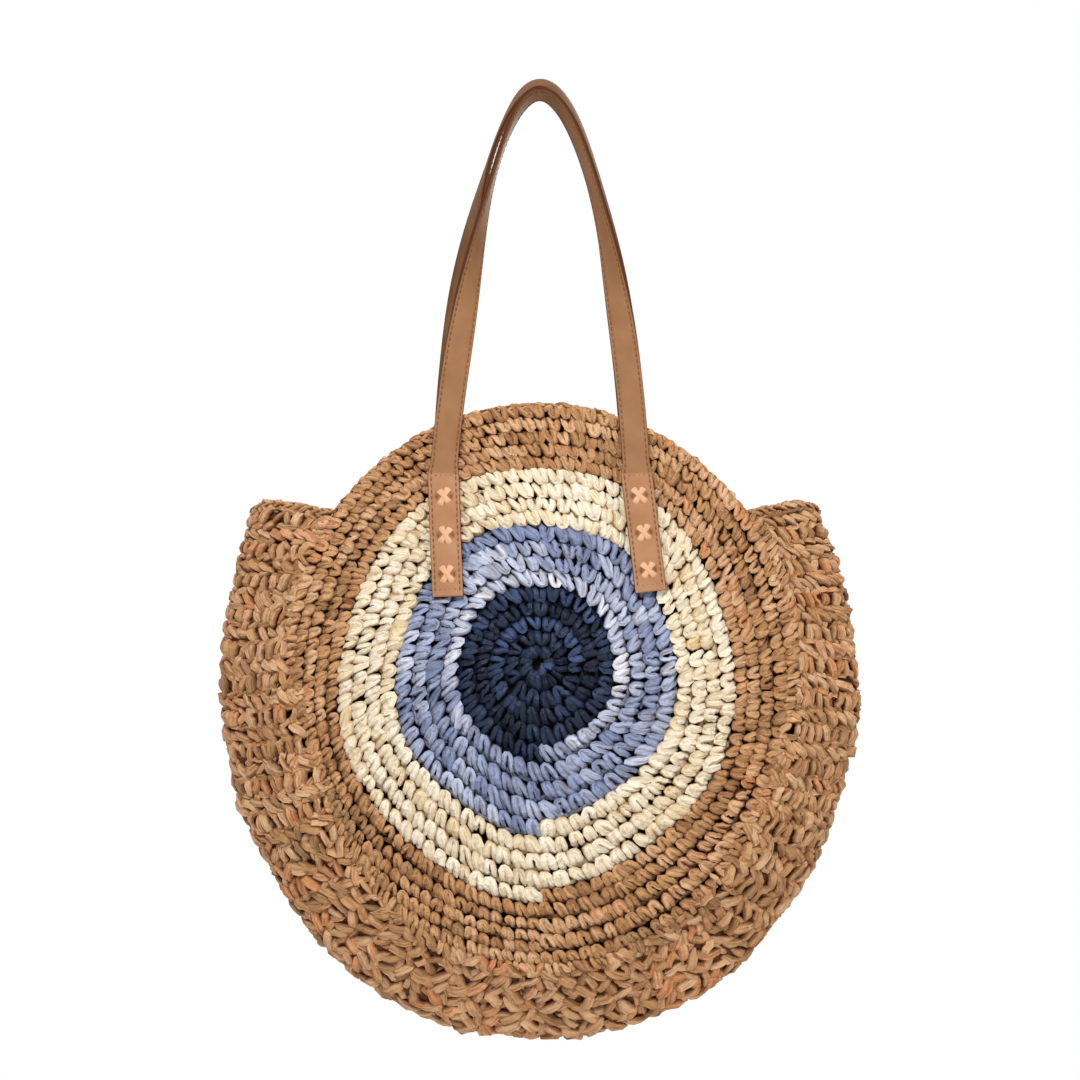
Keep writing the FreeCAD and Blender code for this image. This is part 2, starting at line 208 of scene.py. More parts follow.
def paper_straw(name, stops, side_shade_code, crease_shade_code, roughness, shine):
    """Twisted paper straw: strands of their own shades, lengthwise creases with painted shade in them, shiny
    on top, dull below with painted shade down the lower sides.
    """
    material, tree = new_material(name)
    tone = add(tree, "Attribute", attribute_name="tone").outputs["Fac"]
    fibre = add(tree, "Attribute", attribute_name="fibre").outputs["Vector"]
    creases = add(tree, "TexNoise", {"Vector": fibre, "Scale": 0.65, "Detail": 3.0, "Roughness": 0.6})
    patches = add(tree, "TexNoise", {"Vector": fibre, "Scale": 0.3, "Detail": 1.0})
    shade = add(tree, "Math", {0: patches, 1: 0.45, 2: -0.225}, operation="MULTIPLY_ADD")
    place = add(tree, "Math", {0: tone, 1: shade}, operation="ADD")
    colour = add(tree, "ValToRGB", {"Fac": place}, stops)
    # Painted shade in the crease lines: the creases that bump each strand also darken its colour
    depth = add(tree, "ValToRGB", {"Fac": creases}, [(0.35, crease_shade_code), (0.55, "#ffffff")])
    creased = add(tree, "Mix", {"Factor": 1.0, 6: colour, 7: depth}, **MULTIPLIED).outputs[2]
    # Painted shade: the colour darkens towards each strand's lower sides, and wherever its fibre height is
    # set low, through the side shade ramp below
    level = add(tree, "SeparateXYZ", {"Vector": fibre}).outputs["Z"]
    crest = add(tree, "MapRange", {"Value": level, "From Min": -0.15, "From Max": 0.9})
    side_shade = add(tree, "ValToRGB", {"Fac": crest}, [(0.0, side_shade_code), (1.0, "#ffffff")])
    side_shaded = add(tree, "Mix", {"Factor": 1.0, 6: creased, 7: side_shade}, **MULTIPLIED).outputs[2]
    bump = add(tree, "Bump", {"Height": creases, "Strength": 1.0, "Distance": 1.0 * MM})
    gloss = add(tree, "MapRange", {"Value": crest, "To Min": 0.9, "To Max": roughness})
    shader = add(tree, "BsdfPrincipled", {
        "Base Color": side_shaded, "Roughness": gloss, "Specular IOR Level": shine, "Normal": bump,
    })
    add(tree, "OutputMaterial", {"Surface": shader})
    return material


def smooth_leather(name, stops, edge_code, roughness):
    """Split cowhide with a smooth finish: cloudy colour, faint pores, painted edges, painted shade in the
    stitch furrows and dimples, darker above the tabs.
    """
    material, tree = new_material(name)
    lie = add(tree, "Attribute", attribute_name="lie").outputs["Vector"]
    edge = add(tree, "Attribute", attribute_name="edge").outputs["Fac"]
    handled = add(tree, "Attribute", attribute_name="handled").outputs["Fac"]
    clouds = add(tree, "TexNoise", {"Vector": lie, "Scale": 1 / (22 * MM), "Detail": 3.0, "Roughness": 0.55})
    colour = add(tree, "ValToRGB", {"Fac": clouds}, stops)
    # Edge ramp: the painted edge beyond 0.955 and, about 0.78, painted shade in the stitch furrows
    painted = add(tree, "ValToRGB", {"Fac": edge}, [
        (0.7, "#000000"), (0.78, "#606060"), (0.86, "#000000"), (0.955, "#000000"), (0.985, "#ffffff"),
    ])
    # Darker above the tabs, and painted shade in the dimples beside the laces
    darker = add(tree, "ValToRGB", {"Fac": handled}, [(0.0, "#ffffff"), (0.5, "#dedccf"), (1.0, "#8a6248")])
    darkened = add(tree, "Mix", {"Factor": 1.0, 6: colour, 7: darker}, **MULTIPLIED).outputs[2]
    mixed = add(tree, "Mix", {"Factor": painted, 6: darkened, 7: linear(edge_code)}, data_type="RGBA").outputs[2]
    pores = add(tree, "TexVoronoi", {"Vector": lie, "Scale": 1 / (0.9 * MM)}, feature="DISTANCE_TO_EDGE")
    creases = add(tree, "TexNoise", {"Vector": lie, "Scale": 1 / (3.5 * MM), "Detail": 4.0})
    relief = add(tree, "Math", {0: pores, 1: 0.4, 2: creases}, operation="MULTIPLY_ADD")
    bump = add(tree, "Bump", {"Height": relief, "Strength": 0.1, "Distance": 0.4 * MM})
    gloss = add(tree, "MapRange", {"Value": creases, "To Min": roughness - 0.07, "To Max": roughness + 0.07})
    shader = add(tree, "BsdfPrincipled", {
        "Base Color": mixed, "Roughness": gloss, "Specular IOR Level": 0.14, "Normal": bump,
    })
    add(tree, "OutputMaterial", {"Surface": shader})
    return material


def woven_cotton(name, dark_code, pale_code):
    """Plain-weave cotton: crossing threads 0.9 mm apart, matt, with a little sheen."""
    material, tree = new_material(name)
    pattern = {"Vector": add(tree, "TexCoord").outputs["Object"], "Scale": WAVE_LENGTH / (0.9 * MM)}
    warp = add(tree, "TexWave", pattern, bands_direction="X").outputs["Fac"]
    weft = add(tree, "TexWave", pattern, bands_direction="Z").outputs["Fac"]
    weave = add(tree, "Math", {0: warp, 1: weft}, operation="MULTIPLY")
    colour = add(tree, "ValToRGB", {"Fac": weave}, [(0.0, dark_code), (1.0, pale_code)])
    bump = add(tree, "Bump", {"Height": weave, "Strength": 0.4, "Distance": 0.2 * MM})
    shader = add(tree, "BsdfPrincipled", {
        "Base Color": colour, "Roughness": 0.9, "Sheen Weight": 0.1,
        "Specular IOR Level": 0.2, "Normal": bump,
    })
    add(tree, "OutputMaterial", {"Surface": shader})
    return material


def waxed_thread(name, dark_code, pale_code):
    """Waxed polyester thread: two plies twisted at 0.8 mm, slightly glossy."""
    material, tree = new_material(name)
    fibre = add(tree, "Attribute", attribute_name="fibre").outputs["Vector"]
    plies = add(tree, "TexWave", {"Vector": fibre, "Scale": 2.0}, bands_direction="DIAGONAL").outputs["Fac"]
    colour = add(tree, "ValToRGB", {"Fac": plies}, [(0.0, dark_code), (1.0, pale_code)])
    shader = add(tree, "BsdfPrincipled", {"Base Color": colour, "Roughness": 0.45, "Specular IOR Level": 0.4})
    add(tree, "OutputMaterial", {"Surface": shader})
    return material


navy_straw = paper_straw(
    "navy_paper_straw",
    [(0.0, "#0f192d"), (0.35, "#1d2a42"), (0.7, "#2d3b59"), (1.0, "#41527a")], "#142242",
    "#cbc0b6", 0.42, 0.22,
)
blue_straw = paper_straw(
    "blue_paper_straw",
    [(0.0, "#808cb0"), (0.3, "#a1acca"), (0.55, "#bdc5dc"), (0.85, "#d5daea"), (1.0, "#e9e6ee")], "#2f3a62",
    "#cbc0b6", 0.5, 0.28,
)
cream_straw = paper_straw(
    "cream_paper_straw",
    [(0.0, "#e8c794"), (0.2, "#ecd9b8"), (0.55, "#f0e3c9"), (1.0, "#f5ecd9")], "#b4966e",
    "#e6dccb", 0.55, 0.22,
)
tan_straw = paper_straw(
    "tan_paper_straw",
    [
        (0.0, "#ab845c"), (0.2, "#b7875a"), (0.4, "#ca9a6b"), (0.55, "#d2a377"), (0.7, "#dab288"),
        (0.85, "#daa57a"), (1.0, "#cf8f5e"),
    ], "#622a08", "#c8b8a8", 0.5, 0.22,
)
strap_leather = smooth_leather(
    "smooth_cowhide", [(0.3, "#a37552"), (0.5, "#ad7d5a"), (0.7, "#b38564")], "#5a351e", 0.6,
)
backing_leather = smooth_leather(
    "cowhide_backing", [(0.3, "#7d5236"), (0.5, "#8b5e40"), (0.7, "#966a4b")], "#4e2d18", 0.6,
)
lace_leather = smooth_leather(
    "peach_lace_leather", [(0.3, "#d9a47c"), (0.5, "#e0ae88"), (0.7, "#e6b894")], "#c08055", 0.5,
)
dark_cotton = woven_cotton("dark_lining_cotton", "#180f0a", "#271a12")
brown_thread = waxed_thread("brown_waxed_thread", "#6b3a20", "#8a5230")
# Dark strands at the lace ends, standing in for the shadow inside the punched holes: painted shadow
slit_shadow = waxed_thread("painted_slit_shadow", "#3a2012", "#4a2a18")


# Meshes

def turn_outward(points, faces):
    """Reverses the faces where the volume that they enclose comes out negative."""
    volume = 0.0
    for group in faces:
        for i in range(1, group.shape[1] - 1):
            a, b, c = points[group[:, 0]], points[group[:, i]], points[group[:, i + 1]]
            volume += np.einsum("ij,ij->i", a, np.cross(b, c)).sum()
    return [group[:, ::-1] for group in faces] if volume < 0 else faces


def make_piece(name, points, faces, material, slot, closed=True, crisp=False, **attributes):
    """Mesh piece from points and groups of faces of equal corner count, with named point attributes.

    A crisp piece shows its facets, as crumpled paper does."""
    points = np.asarray(points, float).reshape(-1, 3)
    if closed:
        faces = turn_outward(points, faces)
    mesh = bpy.data.meshes.new(name)
    mesh.vertices.add(len(points))
    mesh.vertices.foreach_set("co", points.astype(np.float32).ravel())
    loops = np.concatenate([group.ravel() for group in faces]).astype(np.int32)
    sizes = np.concatenate([np.full(len(group), group.shape[1]) for group in faces])
    mesh.loops.add(len(loops))
    mesh.loops.foreach_set("vertex_index", loops)
    mesh.polygons.add(len(sizes))
    mesh.polygons.foreach_set("loop_start", (np.cumsum(sizes) - sizes).astype(np.int32))
    mesh.polygons.foreach_set("use_smooth", np.full(len(sizes), not crisp))
    mesh.update(calc_edges=True)
    mesh.validate()
    for label, values in attributes.items():
        values = np.asarray(values, np.float32)
        if values.ndim == 1:
            mesh.attributes.new(label, "FLOAT", "POINT").data.foreach_set("value", values)
        else:
            mesh.attributes.new(label, "FLOAT_VECTOR", "POINT").data.foreach_set("vector", values.ravel())
    mesh.materials.append(material)
    piece = bpy.data.objects.new(name, mesh)
    bpy.context.scene.collection.objects.link(piece)
    return piece


def grid_faces(rows, columns, wrap):
    """Quads of a grid of rows by columns, whose columns close on themselves where wrap is true."""
    steps = columns if wrap else columns - 1
    first, column = np.meshgrid(np.arange(rows - 1) * columns, np.arange(steps), indexing="ij")
    next_row = first + columns
    after = (column + 1) % columns
    quads = [first + column, next_row + column, next_row + after, first + after]
    return np.stack(quads, axis=-1).reshape(-1, 4)


def fan_faces(tip, ring):
    """Triangles from a tip to each side of a closed ring of points."""
    return np.stack([np.full(len(ring), tip), ring, np.roll(ring, -1)], axis=1)


def strand_faces(count, rings, sides):
    """Faces of many closed strands: a wrapped grid each, with a fan to the point at either end."""
    tip = rings * sides
    first = fan_faces(tip, np.arange(sides))
    last = fan_faces(tip + 1, np.arange(tip - sides, tip))[:, [0, 2, 1]]
    start = (np.arange(count) * (tip + 2))[:, None, None]
    quads = (grid_faces(rings, sides, True)[None] + start).reshape(-1, 4)
    fans = (np.concatenate([first, last])[None] + start).reshape(-1, 3)
    return [quads, fans]


# Fibre places: the length and width that count as one, and how far apart two strands' grains may lie
FIBRE_LENGTH = 7.0 * MM
FIBRE_WIDTH = 0.8 * MM
FIBRE_SHIFT = 80
SQUARENESS = 0.8
LEAST_FOLD, MOST_FOLD = 0.6, 1.5
CAP = 0.55


def strands(path, radius, flatness, sides=6, roll=0.0, crumple=0.0):
    """Closed strands along paths of (strand, ring, (along, outward, height)).

    A ring is a rounded square of the given radius round the path, flattened in height and rolled at random
    about the path by the given spread. Crumple draws each side in or out at random, most of it all along the
    strand, so that it has lengthwise folds. A point caps each end. Returns the points, their fibre places
    (distance along the strand, offset sideways from its middle and share of its height) and the faces."""
    heading = unit(np.gradient(path, axis=1))
    level = unit(np.cross(heading, [0.0, 0.0, 1.0]))
    above = np.cross(level, heading)
    rolled = rng.normal(0, roll, (len(path), 1, 1)) if roll > 0 else np.zeros((len(path), 1, 1))
    side = level * np.cos(rolled) + above * np.sin(rolled)
    up = above * np.cos(rolled) - level * np.sin(rolled)
    turn = np.arange(sides) * (2 * np.pi / sides)
    count, rings = radius.shape
    folds = rng.normal(0, crumple, (count, 1, sides)) + rng.normal(0, 0.5 * crumple, (count, rings, sides))
    size = radius[:, :, None, None] * np.clip(1 + folds, LEAST_FOLD, MOST_FOLD)[..., None]
    wide, high = (np.sign(wave) * np.abs(wave) ** SQUARENESS for wave in (np.cos(turn), np.sin(turn)))
    across = size * wide[:, None] * side[:, :, None]
    over = size * flatness * high[:, None] * up[:, :, None]
    body = (path[:, :, None] + across + over).reshape(count, rings * sides, 3)
    ends = [
        path[:, :1] - heading[:, :1] * radius[:, :1, None] * CAP,
        path[:, -1:] + heading[:, -1:] * radius[:, -1:, None] * CAP,
    ]
    step = np.linalg.norm(np.diff(path, axis=1), axis=2)
    along = np.concatenate([np.zeros((count, 1)), np.cumsum(step, axis=1)], axis=1)
    fibre = np.stack(
        [
            np.repeat(along[:, :, None], sides, axis=2) / FIBRE_LENGTH,
            radius[:, :, None] * np.cos(turn) / FIBRE_WIDTH,
            np.broadcast_to(np.sin(turn), (count, rings, sides)),
        ],
        axis=-1,
    ).reshape(count, rings * sides, 3)
    tips = np.zeros((count, 2, 3))
    tips[:, 1, 0] = along[:, -1] / FIBRE_LENGTH
    fibre = np.concatenate([fibre, tips], axis=1)
    fibre[..., :2] += rng.uniform(0, FIBRE_SHIFT, (count, 1, 2))
    return np.concatenate([body, *ends], axis=1), fibre, strand_faces(count, rings, sides)


def join_strands(groups):
    """One set of points, fibre places and faces from several groups of strands."""
    points, fibre, faces, start = [], [], [[], []], 0
    for group_points, group_fibre, group_faces in groups:
        points.append(group_points.reshape(-1, 3))
        fibre.append(group_fibre.reshape(-1, 3))
        for kept, found in zip(faces, group_faces):
            kept.append(found + start)
        start += len(points[-1])
    return np.concatenate(points), np.concatenate(fibre), [np.concatenate(kept) for kept in faces]


# Stitches in flat fabric space: along the row, outward from it, and height

KINK = 0.25 * MM
CRUMPLE = 0.17
TONE_RANGE = (0.02, 0.98)


def jitter(count, spread):
    """Random numbers about zero, one column to a strand."""
    return rng.normal(0, spread, (count, 1))


def kinked(along, outward, height, radius):
    """Paths from three coordinates, each point moved a little at random, and the radius at each point."""
    path = np.stack(np.broadcast_arrays(along, outward, height), axis=-1)
    path = path + rng.normal(0, KINK, path.shape)
    return path, np.broadcast_to(radius, path.shape[:2])


def loop_paths(width, reach, lean, opening, height, thickness, rings=13):
    """Loops of one stitch: closed inwards, with two legs that arch outwards and taper under the next row.

    Along the row the legs part as a quarter sine and then spread evenly, the more the opening, from U to V.
    The height is a parabola of the length, with a steeper end, which is flatter for a V."""
    count = len(width)
    t = np.linspace(-1, 1, rings)[None]
    far = np.abs(t)
    width, reach, opening = width[:, None], reach[:, None], opening[:, None]
    stretch = (1 + jitter(count, 0.07)) * (1.12 + 0.14 * opening)
    leg = (np.maximum(far - 0.1, 0) / 0.9) ** 1.15
    outward = leg * (reach * stretch - thickness) - 0.5 * reach + thickness
    parted = np.sin(np.minimum(far / 0.32, 1) * np.pi / 2)
    spread = parted * (0.23 - 0.13 * opening + jitter(count, 0.02)) + (0.03 + 0.24 * opening) * far
    along = np.sign(t) * width * spread + width * jitter(count, 0.05)
    along = along + outward * np.tan(lean + jitter(count, 0.16))
    rise = 1 - (4.4 - 2.2 * opening) * (far - 0.4) ** 2 - (0.5 - 0.15 * opening) * far ** 4
    girth = thickness * (1 + jitter(count, 0.08))
    radius = girth * (0.92 + 0.12 * np.sin(np.pi * far)) * (1 - 0.5 * far ** 5)
    return kinked(along, outward, height * rise + jitter(count, 0.4 * MM), radius)


def grain_paths(count, length, slant, thickness, sag, rings=7):
    """Fat grains: straight, at a slant to the row, sinking as a square and narrowing as a fourth power."""
    t = np.linspace(-1, 1, rings)[None]
    half = length / 2 * (1 + jitter(count, 0.08))
    along = half * t * np.cos(slant)
    outward = half * t * np.sin(slant)
    rise = -sag * t ** 2 + jitter(count, 0.3 * MM)
    radius = thickness * (1 + jitter(count, 0.11)) * (1 - 0.5 * t ** 4)
    return kinked(along, outward, rise, radius)


def spread_tone(count, middle, spread):
    """Shade of each strand, from 0 to 1: it drifts along the yarn and varies from strand to strand."""
    drift = np.convolve(rng.normal(0, 1, count + 8), np.full(9, 1 / 3), "valid")
    return np.clip(middle + spread * (0.75 * drift + 0.6 * rng.normal(0, 1, count)), *TONE_RANGE)


# Panels: rounds of loops worked in a spiral from a start above the centre

ROUND_KNOTS = [0.0, 5.0, 9.0, 13.0, 18.3]
ROUND_SHARES = [0.0, NAVY_SHARE, BLUE_SHARE, CREAM_SHARE, 1.0]
ROUNDS = {"navy": range(0, 5), "blue": range(5, 9), "cream": range(9, 13), "tan": range(13, 18)}
FIRST_LEVEL_ROUND = 17
LEVELLING_ROUNDS = 3
CORNERS = 5
CORNER_SWELL = 0.022
FIRST_ROUND_REACH = 0.45
FEWEST_STITCHES = 7
OPENING = 0.42
NAVY_LEAN = math.radians(8)
LOOP_LEAN = math.radians(25)
LOOP_RISE = 2.1 * MM
BAR_LENGTH = 1.2
BAR_THICKNESS = 0.75
BAR_DEPTH = 1.8 * MM
BAR_PAINTED_SHADE = 0.45
FIRST_BLUE_SHADE = 0.15
PRESS_DEPTH = 2.2 * MM
PRESS_EDGE = 5.0 * MM
PRESS_BELOW = 4.0 * MM
LAP_LEFT = 20.0 * MM
LAP_RIGHT = 13.0 * MM
LAP_START = math.radians(57.0)
LAP_END = math.radians(168.0)


def lap_width(angle):
    """How far the gusset's rows lap the panel's edge at angles from the top: a squared sine on each side."""
    widest = np.where(np.sin(angle) < 0, LAP_LEFT, LAP_RIGHT)
    return widest * np.sin(np.pi * np.clip((from_top(angle) - LAP_START) / (LAP_END - LAP_START), 0, 1)) ** 2


def panel_spot(x, z, height):
    """Points over the front panel's outer face, an oval paraboloid, lifted along its normal."""
    rise = z - CENTRE_Z
    y = -(EDGE_DEPTH + CROWN * (1 - (x / HALF_WIDTH) ** 2 - (rise / HALF_HEIGHT) ** 2))
    slope_x = 2 * CROWN * x / HALF_WIDTH ** 2
    slope_z = 2 * CROWN * rise / HALF_HEIGHT ** 2
    normal = unit(np.stack([slope_x, -np.ones_like(x), slope_z], axis=-1))
    return np.stack([x, y, z], axis=-1) + normal * height[..., None]


def spiral_place(rounds_out, turns):
    """Flat place x, z after so many rounds outwards, at a share of a turn anticlockwise from the bottom.

    The rounds between the start and the edge swell by a cosine into corners, where stitches are added."""
    share = np.interp(rounds_out, ROUND_KNOTS, ROUND_SHARES)
    angle = np.pi - 2 * np.pi * turns
    share = share * (1 + 4 * share * (1 - share) * CORNER_SWELL * np.cos(2 * np.pi * CORNERS * turns))
    x = HALF_WIDTH * share * np.sin(angle)
    z = CENTRE_Z + START_RISE * (1 - share) + HALF_HEIGHT * share * np.cos(angle)
    return x, z


def strap_press(x, z):
    """How far the stitches are pressed in under the straps and their sewn tabs."""
    depth = np.zeros_like(x)
    for side, tilt in ((-1, LEFT_TILT), (1, RIGHT_TILT)):
        below = BAR_SEAM_Z - z
        middle = side * HALF_SPREAD + np.maximum(below, 0) * math.tan(tilt)
        across = smooth_step((STRAP_WIDTH / 2 + PRESS_EDGE - np.abs(x - middle)) / PRESS_EDGE)
        lower = smooth_step((TAB_LENGTH + PRESS_BELOW - below) / PRESS_EDGE)
        depth = np.maximum(depth, PRESS_DEPTH * across * lower)
    return depth


def round_line(index, turns):
    """Rounds outwards at the middle of a round: a spiral that levels off before the last round."""
    drift = np.clip((FIRST_LEVEL_ROUND - index) / LEVELLING_ROUNDS, 0, 1)
    return np.hypot(index + 0.5 + drift * (turns - 0.5), FIRST_ROUND_REACH)


def even_turns(index, width):
    """Shares of a turn that part a round into stitches of about the given width."""
    turns = np.linspace(0, 1, 361)
    line = np.stack(spiral_place(round_line(index, turns), turns), axis=1)
    distance = running_length(line)
    count = max(FEWEST_STITCHES, round(distance[-1] / width))
    return np.interp((np.arange(count) + 0.5) / count * distance[-1], distance, turns)


def steps_between(rounds_a, turns_a, rounds_b, turns_b):
    """Flat distance between places on the spiral."""
    first = np.stack(spiral_place(rounds_a, turns_a), axis=1)
    second = np.stack(spiral_place(rounds_b, turns_b), axis=1)
    return np.linalg.norm(second - first, axis=1)


def panel_rounds(colour, width, thickness, bar_share):
    """Points, fibre places and faces of the front panel's loops of one colour, each strand's round and size.

    The loops open into V shapes towards the top of the bag, and evenly in the centre disc. Behind the feet of
    a share of them lies a bar, the part of the stitch that shows in the gaps. None lies under the gusset's
    lap."""
    near, small = 0.4, 0.002
    turns_of = [even_turns(i, width) for i in ROUNDS[colour]]
    index = np.concatenate([np.full(len(turns), i) for i, turns in zip(ROUNDS[colour], turns_of)])
    turns = np.concatenate(turns_of)
    share = np.interp(round_line(index, turns), ROUND_KNOTS, ROUND_SHARES)
    bare = share * HALF_WIDTH < HALF_WIDTH - lap_width(np.pi - 2 * np.pi * turns)
    index, turns = index[bare], turns[bare]
    rounds_out = round_line(index, turns)
    pitch = steps_between(rounds_out - near, turns, rounds_out + near, turns) / (2 * near)
    turn_length = steps_between(rounds_out, turns - small, rounds_out, turns + small) / (2 * small)
    slope = (round_line(index, turns + small) - round_line(index, turns - small)) / (2 * small)
    reach = pitch * (round_line(index + 1, turns) - rounds_out)
    count = len(index)
    swing, lean = (0.0, NAVY_LEAN) if colour == "navy" else (OPENING, LOOP_LEAN)
    opening = OPENING - swing * np.cos(2 * np.pi * turns) + rng.normal(0, 0.13, count)
    path, radius = loop_paths(np.full(count, width), reach, lean, opening, LOOP_RISE, thickness)
    barred = np.flatnonzero(rng.random(count) < bar_share)
    bar_path, bar_radius = grain_paths(
        len(barred), BAR_LENGTH * width, jitter(len(barred), 0.2), BAR_THICKNESS * thickness, 0.0, rings=5,
    )
    bar_middle = np.stack([np.full(count, width / 2), 0.5 * reach, np.full(count, -BAR_DEPTH)], axis=-1)
    bars = strands(bar_path + bar_middle[barred, None], bar_radius, 0.9, sides=5)
    # Painted shade on the bars: their fibre height is lowered so that the straw's side shade ramp darkens
    # them
    bars[1][..., 2] -= BAR_PAINTED_SHADE
    groups = []
    for chosen, (points, fibre, faces) in (
        (np.arange(count), strands(path, radius, 0.75, sides=7, roll=0.3, crumple=CRUMPLE)),
        (barred, bars),
    ):
        turn_step = points[..., 0] / turn_length[chosen, None]
        local_rounds = rounds_out[chosen, None] + points[..., 1] / pitch[chosen, None]
        local_rounds = np.maximum(local_rounds + turn_step * slope[chosen, None], 0.1)
        x, z = spiral_place(local_rounds, turns[chosen, None] + turn_step)
        placed = panel_spot(x, z, points[..., 2] + FABRIC_MIDDLE - strap_press(x, z))
        groups.append((placed, fibre, faces))
    points_each = np.concatenate([np.full(len(group[0]), group[0].shape[1]) for group in groups])
    return *join_strands(groups), np.concatenate([index, index[barred]]), points_each


# Each side's body, and what turns the front's points half round to it
SIDES = (("front", "front_panel", np.ones(3)), ("back", "back_shell", np.array([-1.0, -1.0, 1.0])))
# Each colour's straw, slot and node, the width, thickness and share of bars of its loops, and the middle and
# spread of their shade
STRAWS = {
    "navy": (navy_straw, "navy_straw", "centre_disc", (9.0 * MM, 2.2 * MM, 0.7), (0.45, 0.28)),
    "blue": (blue_straw, "blue_straw", "blue_ring", (9.3 * MM, 2.45 * MM, 0.8), (0.45, 0.27)),
    "cream": (cream_straw, "cream_straw", "cream_ring", (9.5 * MM, 2.85 * MM, 0.5), (0.6, 0.26)),
    "tan": (tan_straw, "tan_straw", "tan_ring", (8.4 * MM, 2.4 * MM, 1.0), (0.42, 0.22)),
}
for side_name, body, flip in SIDES:
    for colour, (material, slot, node, loop, shade) in STRAWS.items():
        points, fibre, faces, index, points_each = panel_rounds(colour, *loop)
        tone = spread_tone(len(index), *shade)
        if colour == "blue":
            tone = np.clip(tone + np.where(index == ROUNDS["blue"][0], FIRST_BLUE_SHADE, 0), *TONE_RANGE)
        piece = make_piece(
            f"{side_name}_{colour}_rounds", points * flip, faces, material, slot,
            crisp=True, tone=np.repeat(tone, points_each), fibre=fibre,
        )
        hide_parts(f"{side_name}_{node}")
        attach(piece, body)


# Gusset: rounded-V sections from seam to crease, worked in rows across it

ROW_PAIRS = 37
ROW_SHEAR = 0.0435
RIGHT_EAR_LEAN = 4.5 * MM
LEFT_EAR_LEAN = 2.0 * MM
EAR_LEAN_REACH = 0.06
EAR_TRIM_REACH = 0.014
EAR_DIP, EAR_DIP_WIDTH = 5.5, 0.18
EAR_PEAK, EAR_PEAK_WIDTH = 3.5, 0.6
EAR_CORNER = 2.5
USUAL_HALF_LENGTH = 56.0 * MM
STITCH_FLATNESS = 0.92
TAN_SHADE = (0.55, 0.28)
HERRINGBONE = 42
HERRINGBONE_REACH = 0.19
FAN_STITCHES = 4
SHARE_SPREAD = 0.0009
ACROSS_SPREAD = 0.016
GROUND_BARS = 3 * ROW_PAIRS
GROUND_REACH = 0.97
GROUND_DEPTH = 1.9 * MM
GROUND_RADIUS = 5.0 * MM
GROUND_FLATNESS = 0.25
GROUND_PAINTED_SHADE = 0.0
# Long waves of the gusset's face: height, and how fast they run along and across it
SWELLS = ((0.9 * MM, 23, 4), (0.7 * MM, 57, -3))


def oval_place(half_width, upper, lower, angle, drop=0.0):
    """Points (x, z) of an oval with its own upper and lower heights, at angles from the top."""
    height = np.where(np.cos(angle) > 0, upper, lower)
    return np.stack([half_width * np.sin(angle), CENTRE_Z - drop + height * np.cos(angle)], axis=-1)


def panel_outline(angle, inset=0.0):
    """Points (x, z) of the panel's oval, so far inside it, at angles from the top."""
    return oval_place(HALF_WIDTH - inset, HALF_HEIGHT - inset, HALF_HEIGHT - inset, angle)


def ear_to_ear(share, first):
    """Angle from the top at a share of the way round the bottom, from the first angle to its mirror image."""
    return first + share * (2 * np.pi - 2 * first)


def gusset_line(share, across):
    """Points of the gusset's outer face: share runs from ear to ear, across from -1 at the front seam to 1.

    From the seam a straight flank touches the crease arc; the distance from the crease sets which of the two.
    Past the seam the face runs on over the panel. The ears' tops are highest beside the crease, where their
    corners are rounded off, and lean to the left. The ears' trim is in thousandths of the share."""
    near_ear = np.exp(-share / EAR_TRIM_REACH) - np.exp((share - 1) / EAR_TRIM_REACH)
    dip = EAR_DIP * np.exp(-(across / EAR_DIP_WIDTH) ** 2)
    peak = EAR_PEAK * np.exp(-(across / EAR_PEAK_WIDTH) ** 2)
    trim = dip - peak + EAR_CORNER * np.clip(across, -1, 1) ** 4
    share = share + 0.001 * trim * near_ear
    seam = panel_outline(ear_to_ear(share, EAR_SEAM_ANGLE))
    crease = oval_place(
        CREASE_HALF_WIDTH, CREASE_UPPER_HEIGHT, CREASE_LOWER_HEIGHT,
        ear_to_ear(share, EAR_CREASE_ANGLE), CREASE_DROP,
    )
    right_lean = RIGHT_EAR_LEAN * np.exp(-(share / EAR_LEAN_REACH) ** 2)
    left_lean = LEFT_EAR_LEAN * np.exp(-((1 - share) / EAR_LEAN_REACH) ** 2)
    crease[..., 0] -= right_lean + left_lean
    reach = np.linalg.norm(crease - seam, axis=-1)
    outward = (crease - seam) / reach[..., None]
    centre = reach - CREASE_RADIUS
    span = np.hypot(centre, EDGE_DEPTH)
    flank_angle = np.arctan2(EDGE_DEPTH, centre) - np.arcsin(CREASE_RADIUS / span)
    flank = np.sqrt(span ** 2 - CREASE_RADIUS ** 2)
    bend = np.pi / 2 - flank_angle
    half_length = flank + CREASE_RADIUS * bend
    distance = np.minimum(np.abs(across), 1) * half_length
    arc = np.minimum(distance / CREASE_RADIUS, bend)
    straight = np.maximum(distance - CREASE_RADIUS * bend, 0)
    out = centre + CREASE_RADIUS * np.cos(arc) - straight * np.cos(flank_angle)
    from_centre = seam - np.array([0, CENTRE_Z])
    inward = np.maximum(np.abs(across) - 1, 0) * half_length / np.linalg.norm(from_centre, axis=-1)
    depth = CREASE_RADIUS * np.sin(arc) + straight * np.sin(flank_angle) + CROWN * (1 - (1 - inward) ** 2)
    flat = seam + outward * out[..., None] - from_centre * inward[..., None]
    return np.stack([flat[..., 0], np.sign(across) * depth, flat[..., 1]], axis=-1)


def gusset_frame(share, across):
    """Point, step per share, step per across and outward normal of the gusset's face."""
    small = 1e-4
    point = gusset_line(share, across)
    along = (gusset_line(share + small, across) - gusset_line(share - small, across)) / (2 * small)
    over = (gusset_line(share, across + small) - gusset_line(share, across - small)) / (2 * small)
    return point, along, over, unit(np.cross(along, over))


